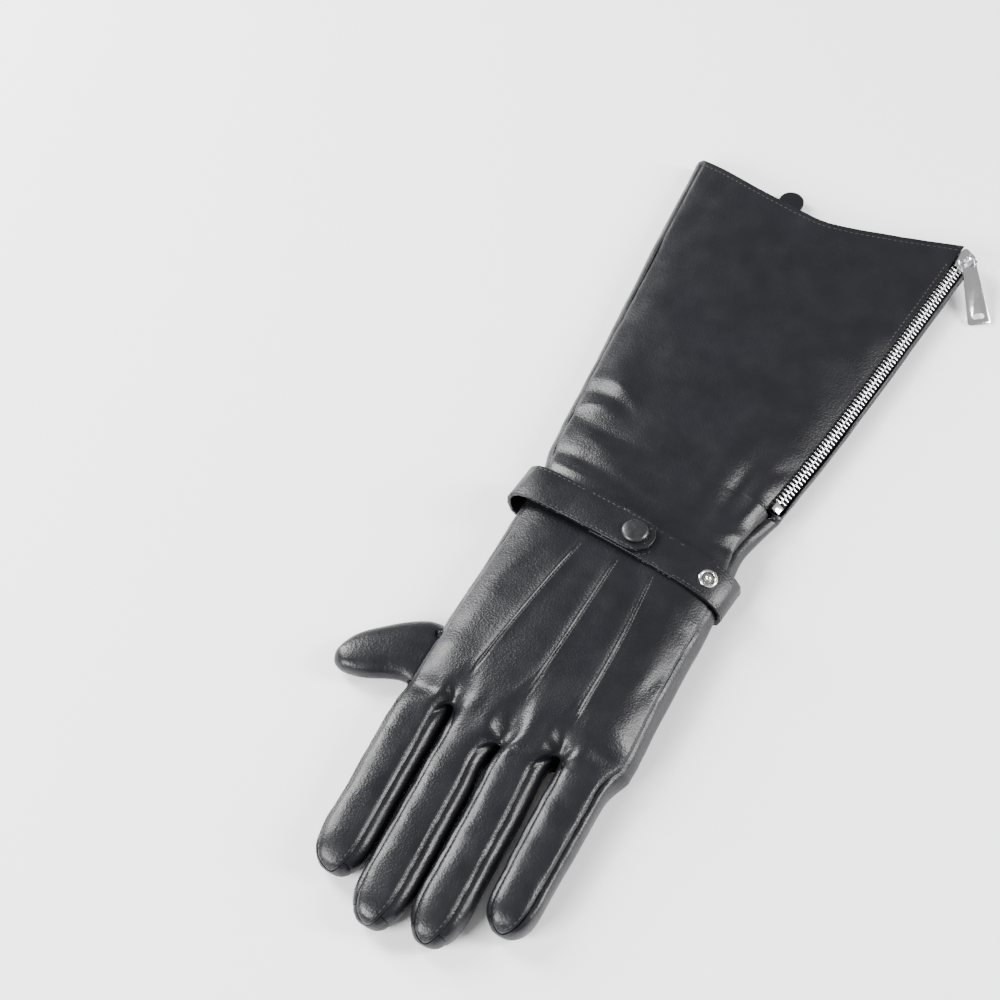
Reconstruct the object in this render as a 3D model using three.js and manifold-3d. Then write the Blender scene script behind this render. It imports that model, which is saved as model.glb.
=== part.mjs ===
// Leather gauntlet glove for the left hand, lying palm down, in millimetres.
// +Z is up, the fingers point to -Y, the little finger and the zip are at +X.
import * as THREE from "three";
import { mergeVertices } from "three/addons/utils/BufferGeometryUtils.js";
import Module from "manifold-3d";

const wasm = await Module();
wasm.setup();

// Leather and seams
const leather = 1.4;
const hemFold = 2.4;
const hemFoldWidth = 12;
const seamGap = 0.3;
const maxMitre = 3.5;
const settle = 0.25;

// Hand, measured flat
const palmWidth = 101.5;
const palmDepth = 24;
const knuckleY = -53;
const wristY = 58;
const wristDepth = 20.4;
const seamInset = 3.2;
const crotchValley = 5.2;
const webInset = 2.5;
const longestFinger = 96;
const fingerDepth = 17.3;
const pointHeight = 0.9;
const pointFoot = 0.1;

// Thumb
const thumbWidth = 33;
const thumbDepth = 12.6;
const thumbReach = 36.2;
const thumbRootX = -41.5;
const thumbRootY = -32.5;
const thumbRest = 0.3;

// Gauntlet
const cuffLength = 204.5;
const hemWidth = 142;
const cuffDepth = 18.4;
const hemZipRise = 20.8;
const hemZipBow = 1.3;
const hemFoldRise = 12.5;
const hemFoldBow = 1.5;
const hemPalmRise = 11.5;

// Hem tab
const tabWidth = 12;
const tabLength = 30;
const tabReach = 19;
const tabThick = 1.6;
const tabX = -18.3;

// Zip
const zipStart = 99;
const zipInset = 4.2;
const zipHeight = 9.8;
const zipTilt = 28;
const slitHalf = 3.6;
const chainWidth = 4.9;
const toothPitch = 2.24;
const toothThick = 0.9;
const toothOverlap = 0.75;
const teethPerStep = 4;
const chainTop = 0.5;
const chainBottom = -1.45;
const tapeThick = 0.6;
const tapeUnder = 2.4;
const stopLength = 4.4;

// Slider and pull
const sliderFromHem = 8.3;
const sliderLength = 12;
const sliderWidth = 7.8;
const sliderPlate = 1.2;
const bridgeLength = 4.8;
const bridgeWidth = 1.4;
const bridgeWindow = 4;
const bridgeThick = 0.9;
const pullLength = 33;
const pullRest = 0.75;
const pullFoot = 11;
const pullEye = 6.9;
const pullThick = 1.1;
const eyeBar = 0.9;
const eyeLength = 4.6;

// Strap
const strapThick = 1.8;
const strapWidth = 17.5;
const strapClear = 0.5;
const strapY = 53.2;
const strapTurn = 4.9;
const strapLoop = 5.2;
const strapRoom = strapThick + strapClear + 0.6;

// Snap fasteners
const capRadius = 5.8;
const capHeight = 2.2;
const studRadius = 4.4;
const studHeight = 2.4;

const sliderY = wristY + cuffLength + hemZipRise - sliderFromHem;
const radians = THREE.MathUtils.degToRad;
const mix = THREE.MathUtils.lerp;

// Sections of the hand from the knuckles to the wrist. along: share of the hand's length; left, right:
// shares of the palm width from the origin; top: share of the palm depth; lift: share of the strap's room.
const handSections = [
  { along: -0.06, left: -0.437, right: 0.535, top: 0.8, lift: 0 },
  { along: 0.0, left: -0.437, right: 0.549, top: 0.84, lift: 0 },
  { along: 0.12, left: -0.438, right: 0.561, top: 0.93, lift: 0 },
  { along: 0.25, left: -0.439, right: 0.555, top: 0.985, lift: 0 },
  { along: 0.42, left: -0.44, right: 0.546, top: 1.0, lift: 0 },
  { along: 0.6, left: -0.441, right: 0.541, top: 0.97, lift: 0.02 },
  { along: 0.74, left: -0.442, right: 0.538, top: 0.93, lift: 0.3 },
  { along: 0.83, left: -0.443, right: 0.535, top: 0.895, lift: 1 },
  { along: 1.0, left: -0.445, right: 0.521, top: 0.85, lift: 1 },
];

// Sections of the gauntlet from the wrist to the hem. along: share of the cuff length; left, right: shares
// of the hem width; top: share of the cuff depth; lift: share of the strap's room; seam: height of the
// little-finger seam as a share of the cuff depth.
const cuffSections = [
  { along: 0.0, left: -0.318, right: 0.3725, top: 1.108, lift: 1, seam: 0.79 },
  { along: 0.045, left: -0.321, right: 0.363, top: 1.06, lift: 1, seam: 0.76 },
  { along: 0.08, left: -0.331, right: 0.3605, top: 1.04, lift: 0.7, seam: 0.72 },
  { along: 0.12, left: -0.347, right: 0.37, top: 1.03, lift: 0.15, seam: 0.68 },
  { along: 0.16, left: -0.354, right: 0.382, top: 1.02, lift: 0, seam: 0.62 },
  { along: 0.2, left: -0.361, right: 0.398, top: 1.0, lift: 0, seam: 0.56 },
  { along: 0.3, left: -0.375, right: 0.416, top: 0.985, lift: 0, seam: 0.54 },
  { along: 0.4, left: -0.389, right: 0.436, top: 0.965, lift: 0, seam: 0.54 },
  { along: 0.54, left: -0.41, right: 0.457, top: 0.94, lift: 0, seam: 0.54 },
  { along: 0.7, left: -0.434, right: 0.479, top: 0.9, lift: 0, seam: 0.54 },
  { along: 0.85, left: -0.457, right: 0.498, top: 0.85, lift: 0, seam: 0.54 },
  { along: 1.0, left: -0.479, right: 0.517, top: 0.8, lift: 0, seam: 0.54 },
  { along: 1.1, left: -0.494, right: 0.53, top: 0.77, lift: 0, seam: 0.54 },
];

// Lines of the three points, which run on from the finger crotches. knuckle, mid, wrist: shares of the palm
// width at the knuckles, the middle of the hand and the wrist; hem: share of the hem width.
const pointLines = [
  { name: "index_middle", knuckle: -0.215, mid: -0.15, wrist: -0.085, hem: -0.225, crotch: 0 },
  { name: "middle_ring", knuckle: 0.046, mid: 0.066, wrist: 0.066, hem: 0.02, crotch: -0.068 },
  { name: "ring_little", knuckle: 0.273, mid: 0.268, wrist: 0.21, hem: 0.26, crotch: 0 },
];
const pointSpan = { from: -40, to: 39, fade: 12 };

// Fingers. root, mid, tip: centre line as shares of the palm width; length: share of the longest finger;
// rootWidth, tipWidth: shares of the palm width; leftSeam, rightSeam: angles of the back piece's edges.
const fingers = [
  { name: "index", root: -0.328, mid: -0.308, tip: -0.285, length: 0.865, rootWidth: 0.224, tipWidth: 0.228, leftSeam: 154, rightSeam: 58 },
  { name: "middle", root: -0.0925, mid: -0.066, tip: -0.046, length: 1.0, rootWidth: 0.223, tipWidth: 0.23, leftSeam: 138, rightSeam: 58 },
  { name: "ring", root: 0.142, mid: 0.167, tip: 0.186, length: 0.955, rootWidth: 0.22, tipWidth: 0.225, leftSeam: 138, rightSeam: 58 },
  { name: "little", root: 0.402, mid: 0.412, tip: 0.423, length: 0.77, rootWidth: 0.243, tipWidth: 0.207, leftSeam: 138, rightSeam: 50 },
];
const fingerStations = [0.09, 0.22, 0.38, 0.54, 0.7, 0.82, 0.9, 0.955, 0.988];
const tipRound = 0.8;
const sideAngles = { rightHigh: 20, rightLow: -22, leftLow: -158, leftHigh: 168 };
const underAngles = { right: -50, left: -130 };

// Stations of the thumb from its root. across, along: centre as shares of the reach from the root, towards
// -X and -Y; turn: heading of the width; width, depth: shares of the thumb's own.
const thumbStations = [
  { across: 0.0, along: 0.0, turn: 0, width: 1.0, depth: 0.94 },
  { across: 0.17, along: 0.036, turn: 12, width: 0.95, depth: 1.0 },
  { across: 0.345, along: 0.11, turn: 25, width: 0.83, depth: 1.06 },
  { across: 0.54, along: 0.235, turn: 33, width: 0.72, depth: 1.04 },
  { across: 0.72, along: 0.373, turn: 38, width: 0.64, depth: 0.98 },
  { across: 0.855, along: 0.49, turn: 41, width: 0.49, depth: 0.86 },
  { across: 0.95, along: 0.575, turn: 42, width: 0.3, depth: 0.6 },
];
const thumbTip = { across: 1.0, along: 0.62 };

// Folds and swellings of the back. x, y: shares of the palm width; long, wide: lengths along and across
// the fold as shares of the palm width; turn: heading; rise: share of the palm depth.
const folds = [
  { name: "upper streak", x: -0.355, y: 1.215, long: 0.11, wide: 0.04, turn: -22, rise: 0.06 },
  { name: "hollow under it", x: -0.35, y: 1.13, long: 0.12, wide: 0.045, turn: -12, rise: -0.045 },
  { name: "lower streak", x: -0.355, y: 1.05, long: 0.1, wide: 0.04, turn: -10, rise: 0.045 },
  { name: "slack above the strap", x: -0.27, y: 0.86, long: 0.14, wide: 0.05, turn: -12, rise: 0.05 },
  { name: "fold at the strap", x: -0.3, y: 0.7, long: 0.12, wide: 0.045, turn: -8, rise: 0.05 },
  { name: "swelling at the zip foot", x: 0.455, y: 0.97, long: 0.09, wide: 0.055, turn: 80, rise: 0.07 },
  { name: "hollow beside it", x: 0.35, y: 1.0, long: 0.2, wide: 0.055, turn: 88, rise: -0.06 },
  { name: "soft roll of the gauntlet", x: 0.3, y: 1.75, long: 0.4, wide: 0.1, turn: 40, rise: 0.045 },
  { name: "index knuckle", x: -0.33, y: -0.36, long: 0.08, wide: 0.06, turn: 90, rise: 0.035 },
  { name: "little knuckle", x: 0.4, y: -0.33, long: 0.09, wide: 0.07, turn: 90, rise: 0.045 },
];

const backStrips = 16;
const underStrips = 8;
const backPerFinger = backStrips / fingers.length;
const underPerFinger = underStrips / fingers.length;
const handLength = wristY - knuckleY;
const handRows = [0, 0.05, 0.12, 0.25, 0.42, 0.6, 0.74, 0.83, 0.92, 1];
const cuffRows = [0.045, 0.085, 0.125, 0.16, 0.195, 0.204, 0.25, 0.31, 0.38, 0.47, 0.58, 0.7, 0.82, 0.94, 1];

// Value of a column of a table at a place, on a smooth curve through its rows.
function curveValue(table, place, key, column) {
  const last = table.length - 1;
  let low = 0;
  while (low < last - 1 && table[low + 1][key] <= place) low += 1;
  const high = low + 1;
  const before = Math.max(low - 1, 0);
  const after = Math.min(high + 1, last);
  const span = table[high][key] - table[low][key];
  const share = THREE.MathUtils.clamp((place - table[low][key]) / span, 0, 1);
  const slopeLow = (table[high][column] - table[before][column]) / (table[high][key] - table[before][key]);
  const slopeHigh = (table[after][column] - table[low][column]) / (table[after][key] - table[low][key]);
  const square = share * share;
  const cube = square * share;
  return (
    table[low][column] * (2 * cube - 3 * square + 1) +
    slopeLow * span * (cube - 2 * square + share) +
    table[high][column] * (3 * square - 2 * cube) +
    slopeHigh * span * (cube - square)
  );
}

// Shape of the glove's section at a distance along it.
function sectionAt(y) {
  const inHand = y <= wristY;
  const table = inHand ? handSections : cuffSections;
  const place = inHand ? (y - knuckleY) / handLength : (y - wristY) / cuffLength;
  const width = inHand ? palmWidth : hemWidth;
  const depth = inHand ? palmDepth : cuffDepth;
  const value = (column) => curveValue(table, place, "along", column);
  const left = value("left") * width;
  const right = value("right") * width;
  const lift = value("lift") * strapRoom;
  const top = value("top") * depth;
  const half = (right - left) / 2;
  return { left, right, lift, top, half, middle: (left + right) / 2, side: lift + (top - lift) * 0.4 };
}

// Rise of the folds over the plain surface of the back.
function foldRise(x, y) {
  let rise = 0;
  for (const fold of folds) {
    const dx = x / palmWidth - fold.x;
    const dy = y / palmWidth - fold.y;
    const turn = radians(fold.turn);
    const along = (dx * Math.cos(turn) + dy * Math.sin(turn)) / fold.long;
    const across = (dy * Math.cos(turn) - dx * Math.sin(turn)) / fold.wide;
    rise += fold.rise * palmDepth * Math.exp(-along * along - across * across);
  }
  return rise;
}

const topBow = 2.6;
const underBow = 4.5;
const radialSeam = -0.955;
const underEdge = 0.915;

function topHeight(section, x) {
  const share = Math.min(Math.abs((x - section.middle) / section.half), 1);
  const crown = (1 - share ** topBow) ** (1 / topBow);
  return section.side + (section.top - section.side) * crown;
}

function underHeight(section, x) {
  const share = Math.min(Math.abs((x - section.middle) / section.half), 1);
  const drop = (1 - share ** underBow) ** (1 / underBow);
  return Math.max(section.side - (section.side - section.lift) * drop - settle, section.lift);
}

function pointLineX(line, y) {
  if (y > wristY) return mix(line.wrist * palmWidth, line.hem * hemWidth, (y - wristY) / cuffLength);
  const share = (y - knuckleY) / handLength;
  const stops = [
    { at: -0.1, x: line.knuckle - (line.mid - line.knuckle) * 0.25 },
    { at: 0, x: line.knuckle },
    { at: 0.5, x: line.mid },
    { at: 1, x: line.wrist },
  ];
  return curveValue(stops, share, "at", "x") * palmWidth;
}

// Little-finger seam, or the middle of the zip above its foot.
function seamPoint(y) {
  const section = sectionAt(y);
  if (y <= wristY) {
    const x = section.right - seamInset;
    return { x, z: topHeight(section, x) };
  }
  const place = (y - wristY) / cuffLength;
  const share = THREE.MathUtils.clamp((y - wristY) / (zipStart - wristY), 0, 1);
  const x = section.right - mix(seamInset, zipInset, share);
  if (y >= zipStart) return { x, z: zipHeight };
  const seam = curveValue(cuffSections, place, "along", "seam") * cuffDepth;
  return { x, z: mix(seam, zipHeight, share ** 3) };
}

// Edge of the zip's slit on the back (side -1) or the palm (side 1).
function slitEdge(y, side) {
  const centre = seamPoint(y);
  const tilt = radians(zipTilt);
  return {
    x: centre.x + side * slitHalf * Math.cos(tilt),
    z: centre.z - side * slitHalf * Math.sin(tilt),
  };
}

// A skin is an open or closed surface of labelled triangles that face outwards.
class Skin {
  constructor() {
    this.points = [];
    this.walls = [];
    this.faces = [];
  }

  point(x, y, z, wall = leather) {
    this.points.push(new THREE.Vector3(x, y, z));
    this.walls.push(wall);
    return this.points.length - 1;
  }

  triangle(a, b, c, piece) {
    if (a !== b && b !== c && c !== a) this.faces.push({ corners: [a, b, c], piece });
  }

  quad(a, b, c, d, piece) {
    this.triangle(a, b, c, piece);
    this.triangle(a, c, d, piece);
  }

  faceNormal(corners) {
    const [a, b, c] = corners.map((index) => this.points[index]);
    return new THREE.Vector3().subVectors(b, a).cross(new THREE.Vector3().subVectors(c, a));
  }

  pointNormals() {
    const normals = this.points.map(() => new THREE.Vector3());
    for (const face of this.faces) {
      const normal = this.faceNormal(face.corners);
      for (const corner of face.corners) normals[corner].add(normal);
    }
    return normals.map((normal) => normal.normalize());
  }

  // The named piece as a closed sheet of leather under the skin, drawn in from its edges.
  sheet(piece, gap = seamGap) {
    const normals = this.pointNormals();
    const faces = this.faces.filter((face) => face.piece === piece);
    const edges = new Map();
    for (const face of faces) {
      face.corners.forEach((from, place) => {
        const to = face.corners[(place + 1) % 3];
        if (edges.has(to + "_" + from)) edges.delete(to + "_" + from);
        else edges.set(from + "_" + to, { from, to, normal: this.faceNormal(face.corners).normalize() });
      });
    }
    const inward = new Map();
    for (const { from, to, normal } of edges.values()) {
      const run = new THREE.Vector3().subVectors(this.points[to], this.points[from]).normalize();
      const pull = new THREE.Vector3().crossVectors(normal, run);
      for (const corner of [from, to]) {
        if (!inward.has(corner)) inward.set(corner, new THREE.Vector3());
        inward.get(corner).add(pull);
      }
    }
    const used = [...new Set(faces.flatMap((face) => face.corners))];
    const place = new Map(used.map((corner, index) => [corner, index]));
    const positions = [];
    for (const layer of [0, 1]) {
      for (const corner of used) {
        const spot = this.points[corner].clone();
        if (inward.has(corner)) {
          const pull = inward.get(corner);
          const mitre = Math.min(2 / pull.length(), maxMitre);
          spot.addScaledVector(pull.clone().normalize(), (mitre * gap) / 2);
          spot.z = Math.max(spot.z, 0);
        }
        spot.addScaledVector(normals[corner], layer ? -this.walls[corner] : 0);
        positions.push(spot.x, spot.y, spot.z);
      }
    }
    const count = used.length;
    const indices = [];
    for (const face of faces) {
      const [a, b, c] = face.corners.map((corner) => place.get(corner));
      indices.push(a, b, c, count + a, count + c, count + b);
    }
    for (const { from, to } of edges.values()) {
      const a = place.get(from);
      const b = place.get(to);
      indices.push(b, a, count + a, b, count + a, count + b);
    }
    return geometryOf(positions, indices);
  }

  // Closes a ring of points with a fan round their middle, facing the way that the ring turns.
  cap(ring, piece) {
    const middle = new THREE.Vector3();
    for (const index of ring) middle.add(this.points[index]);
    middle.divideScalar(ring.length);
    const hub = this.point(middle.x, middle.y, middle.z);
    ring.forEach((index, place) => this.triangle(hub, index, ring[(place + 1) % ring.length], piece));
  }

  geometry() {
    const positions = this.points.flatMap((spot) => [spot.x, spot.y, spot.z]);
    return geometryOf(positions, this.faces.flatMap((face) => face.corners));
  }
}

function geometryOf(positions, indices) {
  const geometry = new THREE.BufferGeometry();
  geometry.setAttribute("position", new THREE.BufferAttribute(new Float32Array(positions), 3));
  geometry.setIndex(indices);
  return geometry;
}

function solidOf(geometry) {
  const plain = geometry.clone();
  plain.deleteAttribute("normal");
  plain.deleteAttribute("uv");
  const merged = mergeVertices(plain, 1e-4);
  return new wasm.Manifold(
    new wasm.Mesh({
      numProp: 3,
      vertProperties: merged.attributes.position.array,
      triVerts: new Uint32Array(merged.index.array),
    }),
  );
}

function geometryOfSolid(solid) {
  const mesh = solid.getMesh();
  return geometryOf([...mesh.vertProperties], [...mesh.triVerts]);
}

function joined(geometries) {
  return geometries.map(solidOf).reduce((whole, solid) => whole.add(solid));
}

// Distance along the glove of a ring's point: rings bend to the crotches at one end, the hem at the other.
function ringY(base, share, isBack) {
  if (base <= wristY) {
    const fade = Math.max(1 - (base - knuckleY) / (handLength * 0.28), 0) ** 2;
    const bends = [
      { at: 0, y: 0.01 },
      { at: 0.25, y: pointLines[0].crotch },
      { at: 0.5, y: pointLines[1].crotch },
      { at: 0.75, y: pointLines[2].crotch },
      { at: 1, y: 0.06 },
    ];
    const low = Math.min(Math.floor(share * 4), 3);
    const bend = mix(bends[low].y, bends[low + 1].y, share * 4 - low);
    return base + bend * longestFinger * fade;
  }
  const rise = (base - wristY) / cuffLength;
  const across = share * 2 - 1;
  const zipRise = isBack ? hemZipRise : hemPalmRise;
  const hem = across < 0 ? hemFoldRise * (-across) ** hemFoldBow : zipRise * across ** hemZipBow;
  return base + hem * rise ** 2;
}

function stripX(y, share, left, right) {
  const stops = [left, ...pointLines.map((line) => pointLineX(line, y)), right];
  const place = share * fingers.length;
  const block = Math.min(Math.floor(place), fingers.length - 1);
  return mix(stops[block], stops[block + 1], place - block);
}

// Presence of the raised points at a distance along the hand, from 0 to 1.
function pointPresence(y) {
  const inside = Math.min(y - pointSpan.from, pointSpan.to - y) / pointSpan.fade;
  return THREE.MathUtils.smoothstep(inside, 0, 1);
}

// Draws the strips next to a raised point up to its foot.
function crowdedShare(share, presence) {
  const place = share * fingers.length;
  const block = Math.min(Math.floor(place), fingers.length - 1);
  const within = place - block;
  const nearFirst = block > 0 && within > 0 && within < 0.4;
  const nearLast = block < fingers.length - 1 && within > 0.6 && within < 1;
  if (nearFirst) return (block + mix(within, pointFoot, presence)) / fingers.length;
  if (nearLast) return (block + mix(within, 1 - pointFoot, presence)) / fingers.length;
  return share;
}

function backPoint(skin, base, strip) {
  const share = strip / backStrips;
  const y = ringY(base, share, true);
  const section = sectionAt(y);
  const onZip = y > zipStart + 0.5;
  const seam = onZip ? slitEdge(y, -1) : seamPoint(y);
  const presence = pointPresence(y);
  const crowded = crowdedShare(share, presence);
  const x = stripX(y, crowded, section.middle + radialSeam * section.half, seam.x);
  const lastBlock = Math.max(strip - (backStrips - backPerFinger), 0) / backPerFinger;
  const correction = (seam.z - topHeight(section, seam.x)) * lastBlock ** 2;
  const nearCrotch = Math.max(1 - (y - knuckleY) / (handLength * 0.14), 0);
  const toLine = strip % backPerFinger === 0 && strip > 0 && strip < backStrips ? 1 : 0;
  const valley = crotchValley * toLine * Math.min(nearCrotch, 1) ** 1.5;
  const edgeFade = Math.min(strip, backStrips - strip, 1);
  const ridge = pointHeight * presence * toLine;
  const z = topHeight(section, x) + correction + ridge - valley + foldRise(x, y) * edgeFade;
  return skin.point(x, y, z, hemWall(base, share));
}

function underPoint(skin, base, strip) {
  const share = strip / underStrips;
  const y = ringY(base, share, false);
  const section = sectionAt(y);
  const left = section.middle - underEdge * section.half;
  const right = section.middle + underEdge * section.half;
  const x = stripX(y, share, left, right);
  return skin.point(x, y, underHeight(section, x), hemWall(base, share));
}

// The turned hem is double, and stops short of the zip.
function hemWall(base, share) {
  return base > wristY + cuffLength - hemFoldWidth && share < 0.85 ? hemFold : leather;
}

// The ring of points round the hand or gauntlet at a distance along it.
function addRing(skin, base) {
  const count = (strips) => Array.from({ length: strips + 1 }, (_, strip) => strip);
  const back = count(backStrips).map((strip) => backPoint(skin, base, strip));
  const under = count(underStrips).map((strip) => underPoint(skin, base, strip));
  const sidePoint = (side, width, height) => {
    const share = side > 0 ? 1 : 0;
    const y = mix(ringY(base, share, true), ringY(base, share, false), 1 - height);
    const section = sectionAt(y);
    const level = section.lift + (section.side - section.lift) * height;
    return skin.point(section.middle + side * width * section.half, y, level, hemWall(base, share));
  };
  const zipOpen = ringY(base, 1, true) > zipStart + 0.5;
  let palmEdge = back[backStrips];
  if (zipOpen) {
    const y = ringY(base, 1, false);
    const edge = slitEdge(y, 1);
    palmEdge = skin.point(edge.x, y, edge.z);
  }
  return {
    back,
    under,
    palmEdge,
    ulnar: [sidePoint(1, 1, 1), sidePoint(1, 0.985, 0.42)],
    radial: [sidePoint(-1, 1, 1), sidePoint(-1, 0.985, 0.42)],
  };
}

// Joins the upper and under sides of two rings, the first one nearer to the fingers.
function joinSheets(skin, near, far, backPiece, palmPiece) {
  for (let step = 0; step + 1 < near.back.length; step += 1) {
    skin.quad(near.back[step], near.back[step + 1], far.back[step + 1], far.back[step], backPiece);
  }
  for (let step = 0; step + 1 < near.under.length; step += 1) {
    skin.quad(near.under[step + 1], near.under[step], far.under[step], far.under[step + 1], palmPiece);
  }
}

// Joins two rings, the first one nearer to the fingers.
function joinRings(skin, near, far, backPiece, palmPiece) {
  joinSheets(skin, near, far, backPiece, palmPiece);
  const ulnarNear = [near.palmEdge, ...near.ulnar, near.under[underStrips]];
  const ulnarFar = [far.palmEdge, ...far.ulnar, far.under[underStrips]];
  const radialNear = [near.under[0], near.radial[1], near.radial[0], near.back[0]];
  const radialFar = [far.under[0], far.radial[1], far.radial[0], far.back[0]];
  for (let step = 0; step < 3; step += 1) {
    skin.quad(ulnarNear[step], ulnarNear[step + 1], ulnarFar[step + 1], ulnarFar[step], palmPiece);
    skin.quad(radialNear[step], radialNear[step + 1], radialFar[step + 1], radialFar[step], palmPiece);
  }
  const nearSeam = near.back[backStrips];
  const farSeam = far.back[backStrips];
  skin.quad(nearSeam, near.palmEdge, far.palmEdge, farSeam, "slit");
}

// Point of a finger's section, as shares of its half width and of its height over and under its middle.
function roundSection(degrees, bow = 2.6) {
  const angle = radians(degrees);
  const power = 2 / bow;
  return {
    across: Math.sign(Math.cos(angle)) * Math.abs(Math.cos(angle)) ** power,
    up: Math.sign(Math.sin(angle)) * Math.abs(Math.sin(angle)) ** power,
  };
}

function fingerAngles(finger) {
  const spread = (from, to, steps) =>
    Array.from({ length: steps + 1 }, (_, step) => mix(from, to, step / steps));
  return {
    back: spread(finger.leftSeam, finger.rightSeam, backPerFinger),
    under: spread(underAngles.left, underAngles.right, underPerFinger),
    right: [sideAngles.rightHigh, sideAngles.rightLow],
    left: [sideAngles.leftHigh, sideAngles.leftLow],
  };
}

// Places one finger's rings and tip on the skin, from the ring of points at its root.
function addFinger(skin, finger, root) {
  const centreX = (share) =>
    palmWidth * curveValue(
      [
        { at: 0, x: finger.root },
        { at: 0.5, x: finger.mid },
        { at: 1, x: finger.tip },
      ],
      share,
      "at",
      "x",
    );
  const rootY = (index) => skin.points[index].y;
  const rootMiddle = knuckleY - 0.02 * longestFinger;
  const tipY = rootMiddle - finger.length * longestFinger;
  const angles = fingerAngles(finger);
  const place = (degrees, share, rootIndex) => {
    const past = Math.max((share - tipRound) / (1 - tipRound), 0);
    const rounding = (1 - past ** 2.3) ** (1 / 2.3);
    const half = (mix(finger.rootWidth, finger.tipWidth, share) * palmWidth * rounding) / 2;
    const depth = fingerDepth * mix(1, 0.9, share);
    const side = depth * 0.45;
    const { across, up } = roundSection(degrees);
    const skew = (rootY(rootIndex) - rootMiddle) * (1 - share) ** 3;
    const height = side + rounding * up * (up > 0 ? depth - side : side) - (up < 0 ? settle : 0);
    return skin.point(
      centreX(share) + half * across,
      mix(rootMiddle, tipY, share) + skew,
      Math.max(height, 0),
    );
  };
  const rings = [root];
  for (const share of fingerStations) {
    rings.push({
      back: angles.back.map((degrees, step) => place(degrees, share, root.back[step])),
      under: angles.under.map((degrees, step) => place(degrees, share, root.under[step])),
      right: angles.right.map((degrees, step) => place(degrees, share, root.right[step])),
      left: angles.left.map((degrees, step) => place(degrees, share, root.left[step])),
    });
  }
  const tip = skin.point(centreX(1), tipY, fingerDepth * 0.9 * 0.45);
  return { rings, tip };
}

function joinFinger(skin, { rings, tip }, rightPiece, leftPiece) {
  for (let row = 0; row + 1 < rings.length; row += 1) {
    const far = rings[row];
    const near = rings[row + 1];
    const ends = row + 2 >= rings.length;
    joinSheets(skin, near, far, "hand_back", "hand_palm");
    const rightNear = [near.back[backPerFinger], ...near.right, near.under[underPerFinger]];
    const rightFar = [far.back[backPerFinger], ...far.right, far.under[underPerFinger]];
    const leftNear = [near.under[0], near.left[1], near.left[0], near.back[0]];
    const leftFar = [far.under[0], far.left[1], far.left[0], far.back[0]];
    for (let step = 0; step < 3; step += 1) {
      const right = ends ? "hand_palm" : rightPiece;
      const left = ends ? "hand_palm" : leftPiece;
      skin.quad(rightNear[step], rightNear[step + 1], rightFar[step + 1], rightFar[step], right);
      skin.quad(leftNear[step], leftNear[step + 1], leftFar[step + 1], leftFar[step], left);
    }
  }
  const ring = rings[rings.length - 1];
  for (let step = 0; step < backPerFinger; step += 1) {
    skin.triangle(tip, ring.back[step + 1], ring.back[step], "hand_back");
  }
  for (let step = 0; step < underPerFinger; step += 1) {
    skin.triangle(tip, ring.under[step], ring.under[step + 1], "hand_palm");
  }
  const right = [ring.back[backPerFinger], ...ring.right, ring.under[underPerFinger]];
  const left = [ring.under[0], ring.left[1], ring.left[0], ring.back[0]];
  for (let step = 0; step < 3; step += 1) {
    skin.triangle(tip, right[step + 1], right[step], "hand_palm");
    skin.triangle(tip, left[step + 1], left[step], "hand_palm");
  }
}

// The skin of the whole glove but the thumb.
function gloveSkin() {
  const skin = new Skin();
  const handRings = handRows.map((along) => addRing(skin, knuckleY + along * handLength));
  const cuffRings = cuffRows.map((along) => addRing(skin, wristY + along * cuffLength));
  handRings.slice(1).forEach((ring, row) => joinRings(skin, handRings[row], ring, "hand_back", "hand_palm"));
  [handRings[handRings.length - 1], ...cuffRings].reduce((near, far) => {
    joinRings(skin, near, far, "cuff_back", "cuff_palm");
    return far;
  });
  const knuckles = handRings[0];
  for (let strip = backPerFinger; strip < backStrips; strip += backPerFinger) {
    skin.walls[knuckles.back[strip]] = leather * 0.5;
  }
  const webs = pointLines.map((line, index) => {
    const top = skin.points[knuckles.back[(index + 1) * backPerFinger]];
    const under = skin.points[knuckles.under[(index + 1) * underPerFinger]];
    return [0.36, 0.7].map((share) =>
      skin.point(mix(top.x, under.x, share), mix(top.y, under.y, share) + webInset, mix(top.z, under.z, share)),
    );
  });
  fingers.forEach((finger, index) => {
    const isLast = index === fingers.length - 1;
    const root = {
      back: knuckles.back.slice(index * backPerFinger, (index + 1) * backPerFinger + 1),
      under: knuckles.under.slice(index * underPerFinger, (index + 1) * underPerFinger + 1),
      right: isLast ? knuckles.ulnar : webs[index],
      left: index === 0 ? knuckles.radial : webs[index - 1],
    };
    const rightPiece = isLast ? "hand_palm" : "fourchette_" + pointLines[index].name;
    const leftPiece = index === 0 ? "hand_palm" : "fourchette_" + pointLines[index - 1].name;
    joinFinger(skin, addFinger(skin, finger, root), rightPiece, leftPiece);
  });
  return skin;
}

// Triangles that fill a flat outline, turning the way that the outline runs.
function fillOutline(outline) {
  const corners = outline.map(([x, y]) => new THREE.Vector2(x, y));
  const turns = (spots) => Math.sign(THREE.ShapeUtils.area(spots));
  const whole = turns(corners);
  return THREE.ShapeUtils.triangulateShape(corners, []).map(([a, b, c]) =>
    turns([corners[a], corners[b], corners[c]]) === whole ? [a, b, c] : [a, c, b],
  );
}

// Joins rings that turn anticlockwise seen from -Y, and closes both ends.
function closeTube(skin, rings, outline) {
  rings.slice(1).forEach((far, row) => {
    const near = rings[row];
    near.forEach((index, step) => {
      const next = (step + 1) % near.length;
      skin.quad(index, near[next], far[next], far[step], "tube");
    });
  });
  const first = rings[0];
  const last = rings[rings.length - 1];
  for (const [a, b, c] of fillOutline(outline)) {
    skin.triangle(first[a], first[c], first[b], "tube");
    skin.triangle(last[a], last[b], last[c], "tube");
  }
}

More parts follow.
